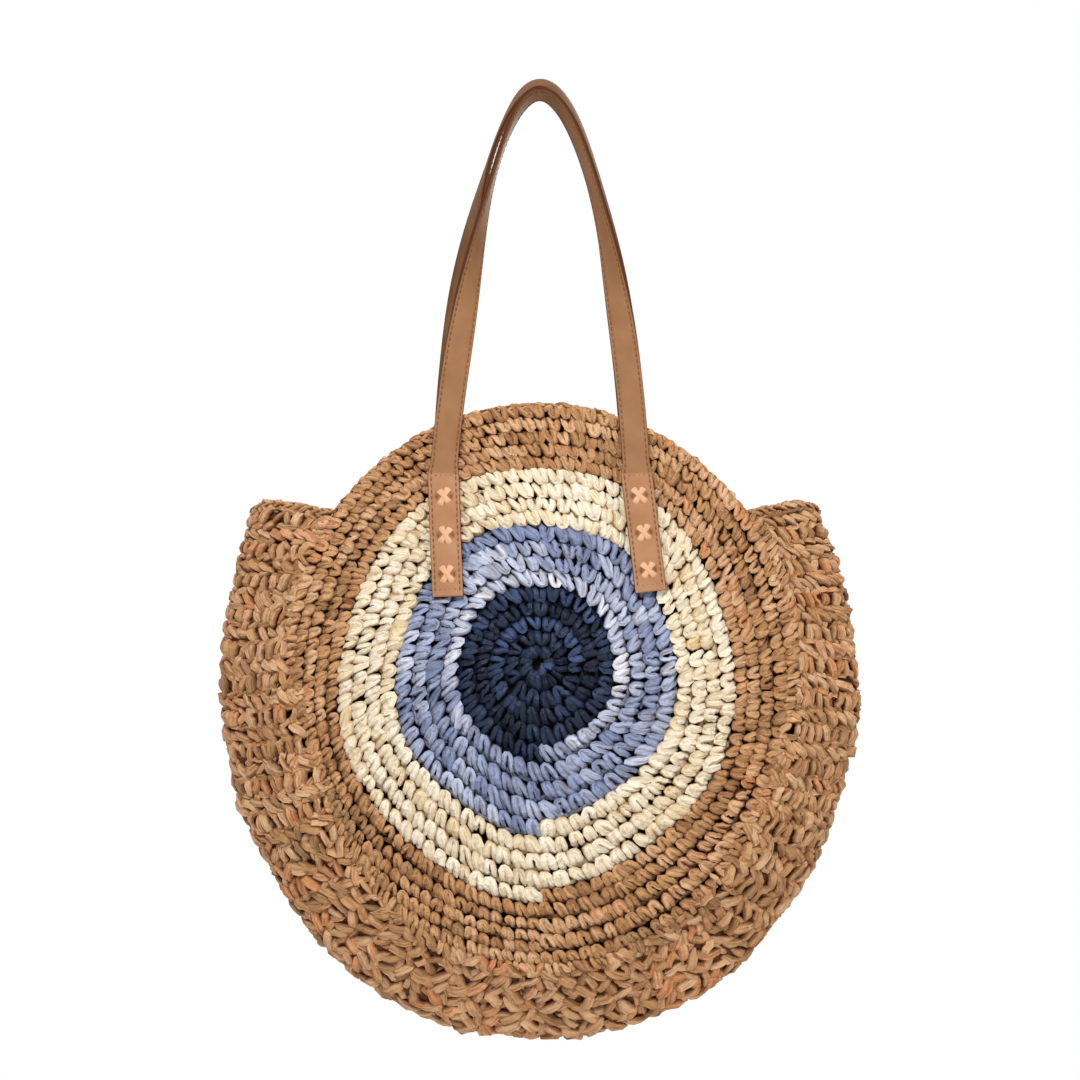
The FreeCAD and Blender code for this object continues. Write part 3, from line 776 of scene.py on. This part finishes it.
def half_girth(share, across):
    """Length of the gusset's section from seam to crease, as the face is stretched at one place across it."""
    return np.linalg.norm(gusset_frame(share, np.full(share.shape, across))[2], axis=-1)


def gusset_spot(share, across, height):
    """Points lifted over the gusset's face."""
    point, _, _, normal = gusset_frame(share, across)
    return point + normal * height[..., None]


def gusset_stitches(share, across, path, radius, flatness):
    """Strands laid on the gusset at their places: along runs across the strip, outward runs along it.

    The rows are sheared so that they lie level at the bag's sides, and they swell and sink in long waves."""
    points, fibre, faces = strands(path, radius, flatness, roll=0.2, crumple=CRUMPLE)
    _, along, over, _ = gusset_frame(share, across)
    share_step = points[..., 1] / np.linalg.norm(along, axis=-1)[:, None]
    across_step = points[..., 0] / np.linalg.norm(over, axis=-1)[:, None]
    share = share[:, None] + share_step
    across = across[:, None] + across_step
    share = share - ROW_SHEAR * np.sin(2 * np.pi * share) * np.maximum(1 - np.abs(across), 0)
    swell = sum(size * np.sin(run * share + cross * across) for size, run, cross in SWELLS)
    return gusset_spot(share, across, points[..., 2] + FABRIC_MIDDLE + swell), fibre, faces


def row_slants(share, column, slant, fan, spread):
    """Slant of each stitch from degrees: fans of four that open by the fan angle from stitch to stitch.

    Towards the bottom of the bag more and more stitches lie in a herringbone of either way."""
    low = np.exp(-((share - 0.5) / HERRINGBONE_REACH) ** 2)
    either = np.where(rng.random(len(share)) < 0.5, -HERRINGBONE, HERRINGBONE)
    fanned = slant + fan * (column % FAN_STITCHES - (FAN_STITCHES - 1) / 2)
    degrees = np.where(rng.random(len(share)) < low, either, fanned)
    return np.radians(degrees)[:, None] + jitter(len(share), spread)


# Rows of each pair: place in the pair, stitches across, their length, slant, fan, spread of slant, thickness,
# sag and height, and the rings of a strand
GUSSET_ROWS = (
    (0.25, 14, 13.5 * MM, 36, 4, 0.2, 3.1 * MM, 1.6 * MM, 0.5 * MM, 6),
    (0.74, 15, 11.5 * MM, 90, -13, 0.16, 3.1 * MM, 1.8 * MM, 0.5 * MM, 6),
    (0.49, 14, 10.0 * MM, -20, 0, 0.5, 2.6 * MM, 1.2 * MM, -0.3 * MM, 5),
    (0.99, 14, 10.0 * MM, 15, 0, 0.5, 2.6 * MM, 1.2 * MM, -0.3 * MM, 5),
)


def stitch_rows(first, step, columns, narrower):
    """Strands of all rows, with columns of stitches from a place across; narrower thins and shortens them.

    Yields the shares, places across, paths and radii of the strands of each kind of row."""
    for row_shift, stitches, length, slant, fan, spread, thickness, sag, height, rings in GUSSET_ROWS:
        row, column = np.meshgrid(np.arange(ROW_PAIRS), np.arange(columns or stitches), indexing="ij")
        share = ((row + row_shift) / ROW_PAIRS + rng.normal(0, SHARE_SPREAD, row.shape)).ravel()
        across = first + (column + 0.5) * (step or 2 / stitches) + rng.normal(0, ACROSS_SPREAD, row.shape)
        slants = row_slants(share, column.ravel(), slant, fan, spread)
        path, radius = grain_paths(len(share), length * narrower, slants, thickness * narrower, sag, rings)
        wide = (half_girth(share, -0.5) / USUAL_HALF_LENGTH)[:, None]
        yield share, across.ravel(), (path + np.array([0, 0, height])) * wide[..., None], radius * wide


def ground_bars():
    """Wide flat bars right across the gusset, deep under its stitches, with painted shade on them."""
    share = (np.arange(GROUND_BARS) + 0.5) / GROUND_BARS
    along = GROUND_REACH * half_girth(share, 0.0)[:, None] * np.linspace(-1, 1, 21)
    path = np.stack([along, np.zeros_like(along), np.full_like(along, -GROUND_DEPTH)], axis=-1)
    radius = np.full(along.shape, GROUND_RADIUS)
    points, fibre, faces = gusset_stitches(share, np.zeros(GROUND_BARS), path, radius, GROUND_FLATNESS)
    # Painted shade: a low fibre height makes the straw's side shade ramp darken the whole bar
    fibre[..., 2] = GROUND_PAINTED_SHADE
    return points, fibre, faces


def straw_piece(name, groups, flip=1.0):
    """Piece of tan straw from groups of strands, each strand with its own shade."""
    tones = [np.repeat(spread_tone(len(group[0]), *TAN_SHADE), group[0].shape[1]) for group in groups]
    points, fibre, faces = join_strands(groups)
    return make_piece(
        name, points * flip, faces, tan_straw, "tan_straw",
        crisp=True, tone=np.concatenate(tones), fibre=fibre,
    )


groups = [gusset_stitches(*row, STITCH_FLATNESS) for row in stitch_rows(-1.0, None, None, 1.0)]
gusset = straw_piece("gusset_rows", [*groups, ground_bars()])
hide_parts("gusset")
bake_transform(gusset)


# Braided edges: slanted grains in rows round a core line

BRAID_SAG = 0.6 * MM
BRAID_FLATNESS = 0.85


def braid(core, normal, binormal, rows, pitch, length, thickness, core_radius):
    """Grains wound on a core line, in rows at angles from the normal to the binormal, each at its slant.

    A place so far round the core lies at that arc length from the row's middle."""
    distance = running_length(core)
    count = int(distance[-1] / pitch)
    groups = []
    for angle, slant, shift in rows:
        path, radius = grain_paths(count, length, slant + jitter(count, 0.2), thickness, BRAID_SAG)
        points, fibre, faces = strands(path, radius, BRAID_FLATNESS, crumple=CRUMPLE)
        middle = (np.arange(count) + 0.5 + shift) * distance[-1] / count
        along = np.clip(middle[:, None] + points[..., 0], 0, distance[-1])
        turn = angle + points[..., 1] / (core_radius + thickness)
        place, side, out = follow(along, distance, core, normal, binormal)
        ray = side * np.cos(turn)[..., None] + out * np.sin(turn)[..., None]
        groups.append((place + ray * (core_radius + points[..., 2])[..., None], fibre, faces))
    return groups


def panel_edge(inset, depth, first, last, steps=240):
    """Line along the panel's outline, so far inside it, with its forward and outward directions."""
    angle = np.linspace(first, last, steps)
    flat = panel_outline(angle, inset)
    core = np.stack([flat[:, 0], np.full(steps, -depth), flat[:, 1]], axis=-1)
    forward = np.tile([0.0, -1.0, 0.0], (steps, 1))
    outward = unit(np.stack(
        [np.sin(angle) / HALF_WIDTH, np.zeros(steps), np.cos(angle) / HALF_HEIGHT], axis=-1,
    ))
    return core, forward, outward


# Braids: pitch, length and thickness of the grains, and the core's radius
RIM_BRAID = (8.2 * MM, 11.5 * MM, 2.3 * MM, 1.6 * MM)
EAR_BRAID = (7.4 * MM, 12.0 * MM, 2.5 * MM, 2.4 * MM)
EAR_OVERHANG = 1.6 * MM
# Rows of a braid: angle round its core, slant of the grains, and shift along it in grains
RIM_ROWS = (
    (math.radians(-10), math.radians(35), 0.0),
    (math.radians(65), math.radians(-35), 0.3),
    (math.radians(140), math.radians(35), 0.6),
)
EAR_ROWS = (
    (math.radians(-50), math.radians(40), 0.2),
    (math.radians(15), math.radians(-42), 0.0),
    (math.radians(80), math.radians(38), 0.4),
    (math.radians(145), math.radians(-40), 0.7),
)
SEAM_PITCH = 5.2 * MM
SEAM_SLANT = math.radians(-66)
SEAM_LENGTH = 10.5 * MM
SEAM_THICKNESS = 2.6 * MM
SEAM_SAG = 1.6 * MM
SEAM_DEPTH = 1.6 * MM
SEAM_OUTSIDE = 0.8 * MM
LAP_COLUMNS = 3
LAP_STEP = 0.105
LAP_NARROWING = 0.9
LAP_CLEARANCE = 2.0 * MM


def seam_row():
    """Slanted stitches side by side along the seam, or along the inner edge of the gusset's lap."""
    angle = np.linspace(EAR_SEAM_ANGLE, 2 * np.pi - EAR_SEAM_ANGLE, 721)
    line = panel_outline(angle)
    distance = running_length(line)
    count = int(distance[-1] / SEAM_PITCH)
    middle = (np.arange(count) + 0.5) / count * distance[-1]
    slant = SEAM_SLANT + jitter(count, 0.3)
    path, radius = grain_paths(count, SEAM_LENGTH, slant, SEAM_THICKNESS, SEAM_SAG)
    points, fibre, faces = strands(path, radius, 0.75, roll=0.3, crumple=CRUMPLE)
    turn = np.interp(middle[:, None] + points[..., 0], distance, angle)
    flat = panel_outline(turn)
    reach = np.hypot(flat[..., 0], flat[..., 1] - CENTRE_Z)
    share = 1 + (points[..., 1] + SEAM_OUTSIDE - lap_width(turn)) / reach
    x = flat[..., 0] * share
    z = CENTRE_Z + (flat[..., 1] - CENTRE_Z) * share
    return panel_spot(x, z, points[..., 2] - SEAM_DEPTH), fibre, faces


def lap_rows():
    """The gusset's rows carried on over the front panel's edge, as far as they lap it."""
    groups = []
    for row in stitch_rows(-1.0 - LAP_COLUMNS * LAP_STEP, LAP_STEP, LAP_COLUMNS, LAP_NARROWING):
        share, across = row[:2]
        lap = lap_width(ear_to_ear(share, EAR_SEAM_ANGLE)) - LAP_CLEARANCE
        kept = (-1 - across) * half_girth(share, -0.5) < lap
        groups.append(gusset_stitches(*(values[kept] for values in row), STITCH_FLATNESS))
    return groups


for side_name, body, flip in SIDES:
    lines = panel_edge(RIM_RADIUS, EDGE_DEPTH - PANEL_THICKNESS / 2, -EAR_SEAM_ANGLE, EAR_SEAM_ANGLE)
    rim = straw_piece(f"{side_name}_rim_braid", braid(*lines, RIM_ROWS, *RIM_BRAID), flip)
    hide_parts(f"{side_name}_rim_edging")
    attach(rim, body)
    seam = straw_piece(f"{side_name}_seam_stitches", [seam_row(), *lap_rows()], flip)
    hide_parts(f"{side_name}_seam_yarn")
    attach(seam, body)

for side_name, share, way in (("right", 0.0, -1), ("left", 1.0, 1)):
    across = np.linspace(-1, 1, 160)
    point, along, _, normal = gusset_frame(np.full(160, share), across)
    end_way = unit(along) * way
    core = point - normal * (PANEL_THICKNESS / 2) + end_way * EAR_OVERHANG
    ear = straw_piece(f"{side_name}_ear_braid", braid(core, normal, end_way, EAR_ROWS, *EAR_BRAID))
    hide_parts(f"{side_name}_ear_edging")
    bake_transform(ear)


# Lining: thin cotton behind the crochet

LINING_THICKNESS = 0.8 * MM
LINING_INSET = 0.015
MOUTH_EASE = math.radians(6)
RIM_BAND = 0.08
GUSSET_LINING_STEPS = (140, 33)
GUSSET_LINING_REACH = 0.97


def thicken(piece):
    """Gives a sheet its thickness."""
    solid = piece.modifiers.new("cloth_thickness", "SOLIDIFY")
    solid.thickness = LINING_THICKNESS
    solid.offset = 0.0


def panel_lining():
    """Front lining: rings from its centre to the seam, or to the rim, where it lies nearer the panel's face.

    It gives way behind the straps as the crochet does."""
    rings, steps = 28, 96
    angle = np.linspace(0, 2 * np.pi, steps, endpoint=False)
    mouth = smooth_step((EAR_SEAM_ANGLE - from_top(angle)) / MOUTH_EASE)
    limit = 1 - LINING_INSET - (LINING_BELOW_RIM / HALF_HEIGHT - LINING_INSET) * mouth
    outward = np.linspace(0, 1, rings + 1)[1:, None]
    share = outward * limit
    x = np.concatenate([[0.0], (HALF_WIDTH * share * np.sin(angle)).ravel()])
    z = np.concatenate([[0.0], (HALF_HEIGHT * share * np.cos(angle)).ravel()]) + CENTRE_Z
    near_rim = mouth * smooth_step((outward - (1 - RIM_BAND)) / RIM_BAND)
    depth = LINING_DEPTH + (RIM_LINING_DEPTH - LINING_DEPTH) * np.concatenate([[0.0], near_rim.ravel()])
    points = panel_spot(x, z, depth - strap_press(x, z))
    return points, [grid_faces(rings, steps, True) + 1, fan_faces(0, 1 + np.arange(steps))]


for side_name, body, flip in SIDES:
    points, faces = panel_lining()
    lining = make_piece(
        f"{side_name}_lining", points * flip, faces, dark_cotton, "lining_cotton", closed=False,
    )
    thicken(lining)
    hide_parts(f"lining_{side_name}")
    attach(lining, body)
share, across = np.meshgrid(
    np.linspace(0, 1, GUSSET_LINING_STEPS[0]),
    np.linspace(-GUSSET_LINING_REACH, GUSSET_LINING_REACH, GUSSET_LINING_STEPS[1]), indexing="ij",
)
points = gusset_spot(share, across, np.full(share.shape, GUSSET_LINING_DEPTH))
faces = [grid_faces(*GUSSET_LINING_STEPS, False)]
lining = make_piece("gusset_lining", points, faces, dark_cotton, "lining_cotton", closed=False)
thicken(lining)
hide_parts("lining_gusset")
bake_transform(lining)


# Straps: a middle line from the left tab over the arch to the right tab, with its width and face directions

RIM_Z = CENTRE_Z + HALF_HEIGHT * math.sqrt(1 - (HALF_SPREAD / HALF_WIDTH) ** 2)
INNER_EDGE = np.array([HALF_SPREAD - STRAP_WIDTH / 2])
BAR_SEAM_Y = panel_spot(INNER_EDGE, np.array([BAR_SEAM_Z]), np.zeros(1))[0, 1] - PANEL_TO_STRAP - HALF_STRAP
RIM_Y = PANEL_THICKNESS / 2 - EDGE_DEPTH - RIM_RADIUS - RIM_TO_STRAP - HALF_STRAP
APEX_Y = -(STRAP_WIDTH / 2 * math.sin(TWIST) + HALF_STRAP * math.cos(TWIST) + APEX_GAP / 2)
FORWARD = np.array([0.0, -1.0, 0.0])


def lean_depth(z, rise):
    """Depth of the strap's middle: the parabola through the bar seam, the rim and the apex."""
    first_slope = (RIM_Y - BAR_SEAM_Y) / (RIM_Z - BAR_SEAM_Z)
    upper_slope = (APEX_Y - RIM_Y) / (BAR_SEAM_Z + rise - RIM_Z)
    bend = (upper_slope - first_slope) / rise
    return BAR_SEAM_Y + (z - BAR_SEAM_Z) * (first_slope + bend * (z - RIM_Z))


def tab_line(side, tilt, below):
    """Middle points and facings of a sewn tab: lying on the panel, lifting to the bar seam."""
    x = side * HALF_SPREAD + below * math.sin(tilt)
    z = BAR_SEAM_Z - below * math.cos(tilt)
    lying = panel_spot(x, z, np.full(x.shape, TAB_GAP + HALF_STRAP))
    normal = unit(lying - panel_spot(x, z, np.zeros(x.shape)))
    lifting = np.stack([x, lean_depth(z, FRONT_RISE), z], axis=-1)
    lift = ((1 - below / TAB_LENGTH) ** 3)[:, None]
    return lying + (lifting - lying) * lift, normal + (FORWARD - normal) * lift


def strap_line(rise, power, sway):
    """Distance, middle points, width directions and face directions along a whole strap.

    The arch is a power of a sine over a cosine, and sways sideways between its feet and top, left and right.
    The right tab is a little shorter than the left, and distances on it are drawn out to match."""
    below = np.linspace(TAB_LENGTH, 0, 80)[:-1]
    turn = np.linspace(np.pi, 0, 181)
    z = BAR_SEAM_Z + rise * np.maximum(np.sin(turn), 0) ** power
    x = HALF_SPREAD * np.cos(turn) + np.where(turn > np.pi / 2, *sway) * np.sin(2 * turn) ** 2
    arch = np.stack([x, lean_depth(z, rise), z], axis=-1)
    left, left_facing = tab_line(-1, LEFT_TILT, below)
    right, right_facing = tab_line(1, RIGHT_TILT, RIGHT_TAB_SHARE * below[::-1])
    middle = np.concatenate([left, arch, right])
    facing = np.concatenate([left_facing, np.tile(FORWARD, (len(turn), 1)), right_facing])
    twist = TWIST * smooth_step((np.sin(turn) - TWIST_START) / (TWIST_END - TWIST_START))
    twist = twist + LEFT_EXTRA_TWIST * np.exp(-((turn - LEFT_EXTRA_PLACE) / LEFT_EXTRA_REACH) ** 2)
    twist = np.concatenate([np.zeros(len(below)), twist, np.zeros(len(below))])[:, None]
    step = np.linalg.norm(np.diff(middle, axis=0), axis=1)
    step[-len(below):] /= RIGHT_TAB_SHARE
    distance = np.concatenate([[0], np.cumsum(step)])
    heading = unit(np.gradient(middle, distance, axis=0))
    face = unit(facing - heading * (facing * heading).sum(axis=1, keepdims=True))
    outer = np.cross(face, heading)
    width = outer * np.cos(twist) + face * np.sin(twist)
    front = face * np.cos(twist) - outer * np.sin(twist)
    return distance, middle, width, front


def above_tab(line, along):
    """Distance along a strap above the bar seam of the nearer tab, negative on the tab."""
    return np.minimum(along, line[0][-1] - along) - TAB_LENGTH


def strap_spot(line, along, across, height):
    """Points so far along a strap, across it and over its middle; its tabs are wider than the handle."""
    handle_share = smooth_step(above_tab(line, along) / NARROWING)
    across = across * (TAB_SPREAD - (TAB_SPREAD - HANDLE_SPREAD) * handle_share)
    place, side, up = follow(along, *line)
    return place + unit(side) * across[..., None] + unit(up) * height[..., None]


STITCH_INSET = 2.1 * MM
STITCH_PITCH = 4.0 * MM
FIRST_STITCH = 5.0 * MM
LAST_STITCH = 4.0 * MM
END_LINE = 4.6 * MM
THREAD_HALF_LENGTH = 1.15 * MM
THREAD_ARCH = 0.35 * MM
THREAD_RADIUS = 0.4 * MM
THREAD_DEPTH = 0.3 * MM
PINCH_PLACE = 4.6 * MM
PINCH_LENGTH = 2.2 * MM
PINCH_WIDTH = 1.4 * MM
PINCH_DEPTH = 0.4 * MM
EDGE_DROP = 0.6 * MM
EDGE_ROUNDING = 1.1 * MM
FURROW_DEPTH = 0.45 * MM
FURROW_WIDTH = 0.75 * MM
PILLOW_HEIGHT = 0.25 * MM
BACK_INSET = 0.1 * MM
ABOVE_TAB_DARKENING = 0.5
ABOVE_TAB_EASE = 2.0 * MM
DIMPLE_PAINTED_SHADE = 0.95
LACE_HALF_RUN = 4.9 * MM
LACE_HALF_SIDE = 3.3 * MM
LACE_RADIUS = 1.7 * MM
LACE_LIFT = 0.6 * MM
LACE_OVER = 0.25 * MM
LACE_SINK = 1.0 * MM
SLIT_RUN = 5.5 * MM
SLIT_SIDE = 3.9 * MM
SLIT_HALF_RUN = 1.102 * MM
SLIT_HALF_SIDE = 1.558 * MM
SLIT_RADIUS = 0.55 * MM
SLIT_DEPTH = 0.1 * MM


def pinch(line, along, across):
    """Dimples left and right of each cross, where the laces draw the leather in: bell curves from 0 to 1."""
    depth = np.zeros(along.shape)
    for i in range(CROSS_COUNT):
        off_cross = above_tab(line, along) + FIRST_CROSS + i * CROSS_PITCH
        off_dimple = np.abs(across) - PINCH_PLACE
        depth += np.exp(-(off_cross / PINCH_LENGTH) ** 2 - (off_dimple / PINCH_WIDTH) ** 2)
    return depth


def leather_top(across, thickness, pillow):
    """Height of a layer's outer side: round edges, a bell-shaped furrow at each stitch line, a low pillow."""
    half = STRAP_WIDTH / 2
    from_edge = half - np.abs(across)
    rounding = EDGE_DROP * (1 - np.sqrt(1 - np.clip(1 - from_edge / EDGE_ROUNDING, 0, 1) ** 2))
    furrow = FURROW_DEPTH * np.exp(-((from_edge - STITCH_INSET) / FURROW_WIDTH) ** 2)
    return thickness - rounding - pillow * (furrow - PILLOW_HEIGHT * (1 - (across / half) ** 2))


def leather_layer(name, line, low, thickness, pillow, material, slot):
    """One leather layer along a strap: its section is a flat back and a shaped outer side."""
    half = STRAP_WIDTH / 2
    outer = half * np.sin(np.linspace(-np.pi / 2, np.pi / 2, 29))
    inner = np.array([half - BACK_INSET, 0.5 * half, 0.0, -0.5 * half, BACK_INSET - half])
    if pillow > 0:
        top = leather_top(outer, thickness, pillow)
        bottom = np.zeros(len(inner))
    else:
        top = np.full(len(outer), thickness)
        bottom = thickness - leather_top(inner, thickness, 0.0)
    along, across = np.meshgrid(line[0], np.concatenate([outer, inner]), indexing="ij")
    on_top = np.concatenate([np.ones(len(outer)), np.zeros(len(inner))])
    dimple = pinch(line, along, across) * on_top * pillow
    height = low + np.concatenate([top, bottom]) - PINCH_DEPTH * dimple
    points = strap_spot(line, along, across, height)
    # The strap is darker above the tabs, and painted shade darkens the dimples beside each cross
    handled = ABOVE_TAB_DARKENING * smooth_step(above_tab(line, along) / ABOVE_TAB_EASE) + DIMPLE_PAINTED_SHADE * dimple
    rows, columns = along.shape
    caps = np.stack([np.arange(columns), (rows - 1) * columns + np.arange(columns)])
    return make_piece(
        name, points, [grid_faces(rows, columns, True), caps[:1], caps[1:, ::-1]], material, slot,
        lie=np.stack([along, across, height], axis=-1).reshape(-1, 3),
        edge=(np.abs(across) / half).ravel(), handled=handled.ravel(),
    )


def thread_dashes(line, along, across, turned):
    """Short thread dashes lying in the furrows, along the strap or, where turned, across it."""
    count = len(along)
    t = np.linspace(-1, 1, 5)[None]
    run = THREAD_HALF_LENGTH * t * np.ones((count, 1))
    still = np.zeros_like(run)
    rise = THREAD_ARCH * (1 - t ** 2) * np.ones((count, 1))
    path = np.stack((still, run, rise) if turned else (run, still, rise), axis=-1)
    radius = np.full(run.shape, THREAD_RADIUS) * (1 - 0.3 * t ** 2)
    points, fibre, faces = strands(path, radius, 0.8, sides=5)
    base = HALF_STRAP - THREAD_DEPTH
    placed = strap_spot(
        line, along[:, None] + points[..., 0], across[:, None] + points[..., 1], base + points[..., 2],
    )
    return placed, fibre, faces


def strap_stitching(line):
    """Both edge lines, a line across each tab's end and a bar line over each tab's top."""
    total = line[0][-1]
    along = np.arange(FIRST_STITCH, total - LAST_STITCH, STITCH_PITCH)
    edge = STRAP_WIDTH / 2 - STITCH_INSET
    groups = [thread_dashes(line, along, np.full(len(along), sign * edge), False) for sign in (-1, 1)]
    across = np.linspace(-edge, edge, 6)[1:-1]
    for place in (END_LINE, TAB_LENGTH, total - TAB_LENGTH, total - END_LINE):
        groups.append(thread_dashes(line, np.full(len(across), place), across, True))
    return join_strands(groups)


def cross_lacing(line, left):
    """Crosses of two flat laces on one tab, the first arched over the second, ends sunk in the leather; also
    dark strands at the lace ends, painted shadow in the punched holes.
    """
    total = line[0][-1]
    below = FIRST_CROSS + np.arange(CROSS_COUNT) * CROSS_PITCH
    middle = TAB_LENGTH - below if left else total - TAB_LENGTH + below
    each = np.ones((CROSS_COUNT, 1))

    def laid(points):
        """Points about the middle of each cross, laid on the tab."""
        return strap_spot(line, middle[:, None] + points[..., 0], points[..., 1], HALF_STRAP + points[..., 2])

    t = np.linspace(-1, 1, 11)
    s = np.linspace(-1, 1, 5)
    laces, slit_shadows = [], []
    for sign in (1, -1):
        over = LACE_OVER if sign > 0 else 0.0
        run = LACE_HALF_RUN * t * (1 + jitter(CROSS_COUNT, 0.07))
        side = sign * LACE_HALF_SIDE * t * (1 + jitter(CROSS_COUNT, 0.12))
        rise = (LACE_LIFT + over * (1 - t ** 2) - LACE_SINK * np.abs(t) ** 8) * each
        radius = LACE_RADIUS * (1 + 0.55 * t ** 2 - 0.25 * t ** 8) * each
        points, _, faces = strands(np.stack([run, side, rise], axis=-1), radius, 0.3, sides=8)
        laces.append((laid(points), points, faces))
        for end in (-1, 1):
            run = (end * SLIT_RUN - sign * SLIT_HALF_RUN * s) * each
            side = (end * sign * SLIT_SIDE + SLIT_HALF_SIDE * s) * each
            path = np.stack([run, side, np.full(run.shape, -SLIT_DEPTH)], axis=-1)
            points, fibre, faces = strands(path, np.full(run.shape, SLIT_RADIUS), 0.5)
            slit_shadows.append((laid(points), fibre, faces))
    return join_strands(laces), join_strands(slit_shadows)


STRAPS = (
    ("front", FRONT_RISE, FRONT_PEAK_POWER, FRONT_SWAY, "front_panel", "front_handle"),
    ("back", BACK_RISE, BACK_PEAK_POWER, BACK_SWAY, "back_shell", "back_handle"),
)
for side_name, rise, power, sway, panel, handle in STRAPS:
    line = strap_line(rise, power, sway)
    flip = np.array([1.0, -1.0 if side_name == "back" else 1.0, 1.0])
    line = (line[0], *(values * flip for values in line[1:]))
    face = leather_layer(
        f"{side_name}_strap_face", line, HALF_STRAP - FACE_THICKNESS, FACE_THICKNESS, 1.0,
        strap_leather, "strap_leather",
    )
    tabs = [f"{side_name}_{hand}_tab" for hand in ("left", "right")]
    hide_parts(f"{side_name}_handle_face", *(tab + "_face" for tab in tabs))
    backing = leather_layer(
        f"{side_name}_strap_backing", line, -HALF_STRAP, BACKING_THICKNESS, 0.0,
        backing_leather, "backing_leather",
    )
    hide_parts(f"{side_name}_handle_backing", *(tab + "_backing" for tab in tabs))
    points, fibre, faces = strap_stitching(line)
    thread = make_piece(
        f"{side_name}_strap_stitching", points, faces, brown_thread, "strap_leather", fibre=fibre,
    )
    for piece in (face, backing, thread):
        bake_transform(piece)
    for hand in ("left", "right"):
        (points, lie, faces), (slit_points, slit_fibre, slit_faces) = cross_lacing(line, hand == "left")
        lacing = make_piece(
            f"{side_name}_{hand}_lacing", points, faces, lace_leather, "thong_leather",
            lie=lie, edge=np.zeros(len(points)),
        )
        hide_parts(f"{side_name}_{hand}_cross_lacing")
        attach(lacing, panel)
        slit = make_piece(
            f"{side_name}_{hand}_slits", slit_points, slit_faces, slit_shadow, "strap_leather",
            fibre=slit_fibre,
        )
        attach(slit, panel)


# Stage: pale floor under the hanging bag, white surroundings, soft light

FLOOR_Z = -0.75
FLOOR_REACH = 0.85
FLOOR_EDGE = 0.01


def pale_floor():
    """Round pale floor with a rolled edge."""
    steps = 96
    angle = np.linspace(0, 2 * np.pi, steps, endpoint=False)
    reach = np.array([0.3, 0.6, 0.97, 1.0, 0.97])[:, None] * FLOOR_REACH
    level = FLOOR_Z - FLOOR_EDGE * np.array([0, 0, 0, 1, 2])[:, None]
    rings = np.stack(np.broadcast_arrays(reach * np.sin(angle), reach * np.cos(angle), level), axis=-1)
    points = np.concatenate([rings.reshape(-1, 3), [[0, 0, FLOOR_Z], [0, 0, FLOOR_Z - 2 * FLOOR_EDGE]]])
    tip = rings.shape[0] * steps
    top = fan_faces(tip, np.arange(steps))
    under = fan_faces(tip + 1, np.arange(tip - steps, tip))[:, [0, 2, 1]]
    return points, [grid_faces(len(rings), steps, True), np.concatenate([top, under])]


floor_paint, tree = new_material("pale_matt_floor_paint")
place = add(tree, "TexCoord").outputs["Object"]
speckle = add(tree, "TexNoise", {"Vector": place, "Scale": 1 / (40 * MM), "Detail": 2.0})
tint = add(tree, "ValToRGB", {"Fac": speckle}, [(0.3, "#e9e7e4"), (0.7, "#eeece9")])
matt = add(tree, "BsdfPrincipled", {"Base Color": tint, "Roughness": 0.8})
add(tree, "OutputMaterial", {"Surface": matt})
points, faces = pale_floor()
floor = make_piece("floor", points, faces, floor_paint, None)

scene = bpy.context.scene
world = bpy.data.worlds.new("white_surroundings")
scene.world = world
world.use_nodes = True
tree = world.node_tree
tree.nodes.clear()
rays = add(tree, "LightPath").outputs
seen = add(tree, "Math", {0: rays["Is Camera Ray"], 1: rays["Is Glossy Ray"]}, operation="MAXIMUM")
seen = add(tree, "Math", {0: seen, 1: rays["Is Transmission Ray"]}, operation="MAXIMUM")
fill = add(tree, "Background", {"Color": linear("#ffffff"), "Strength": 0.42})
white = add(tree, "Background", {"Color": linear("#ffffff"), "Strength": 1.0})
both = add(tree, "MixShader", {0: seen, 1: fill, 2: white})
add(tree, "OutputWorld", {"Surface": both})


LIGHT_AIM = np.array([0, 0, -0.35])


def soft_light(name, place, size, power):
    """Square area light at a place, aimed at the bag's middle."""
    lamp = bpy.data.lights.new(name, "AREA")
    lamp.size = size
    lamp.energy = power
    light = bpy.data.objects.new(name, lamp)
    light.location = place
    way = LIGHT_AIM - np.array(place)
    light.rotation_euler = (
        math.atan2(math.hypot(way[0], way[1]), -way[2]), 0, math.atan2(-way[0], way[1]),
    )
    scene.collection.objects.link(light)


soft_light("key_softbox", (-0.25, -1.6, 1.1), 0.8, 36)
soft_light("fill_softbox", (1.4, -1.4, 0.1), 1.2, 8)
soft_light("back_softbox", (0.4, 1.8, 0.0), 1.2, 18)

# Camera: level with the bag's middle, far off, as the photograph shows it
CAMERA_DISTANCE = 4.0
CAMERA_Z = -0.2904
FRAME_WIDTH = 0.7128
camera_data = bpy.data.cameras.new("camera")
camera_data.sensor_width = 36.0
camera_data.lens = camera_data.sensor_width * CAMERA_DISTANCE / FRAME_WIDTH
camera_data.clip_end = 20.0
camera = bpy.data.objects.new("camera", camera_data)
camera.location = (0, -CAMERA_DISTANCE, CAMERA_Z)
camera.rotation_euler = (math.pi / 2, 0, 0)
scene.collection.objects.link(camera)
scene.camera = camera
scene.view_settings.view_transform = "Standard"
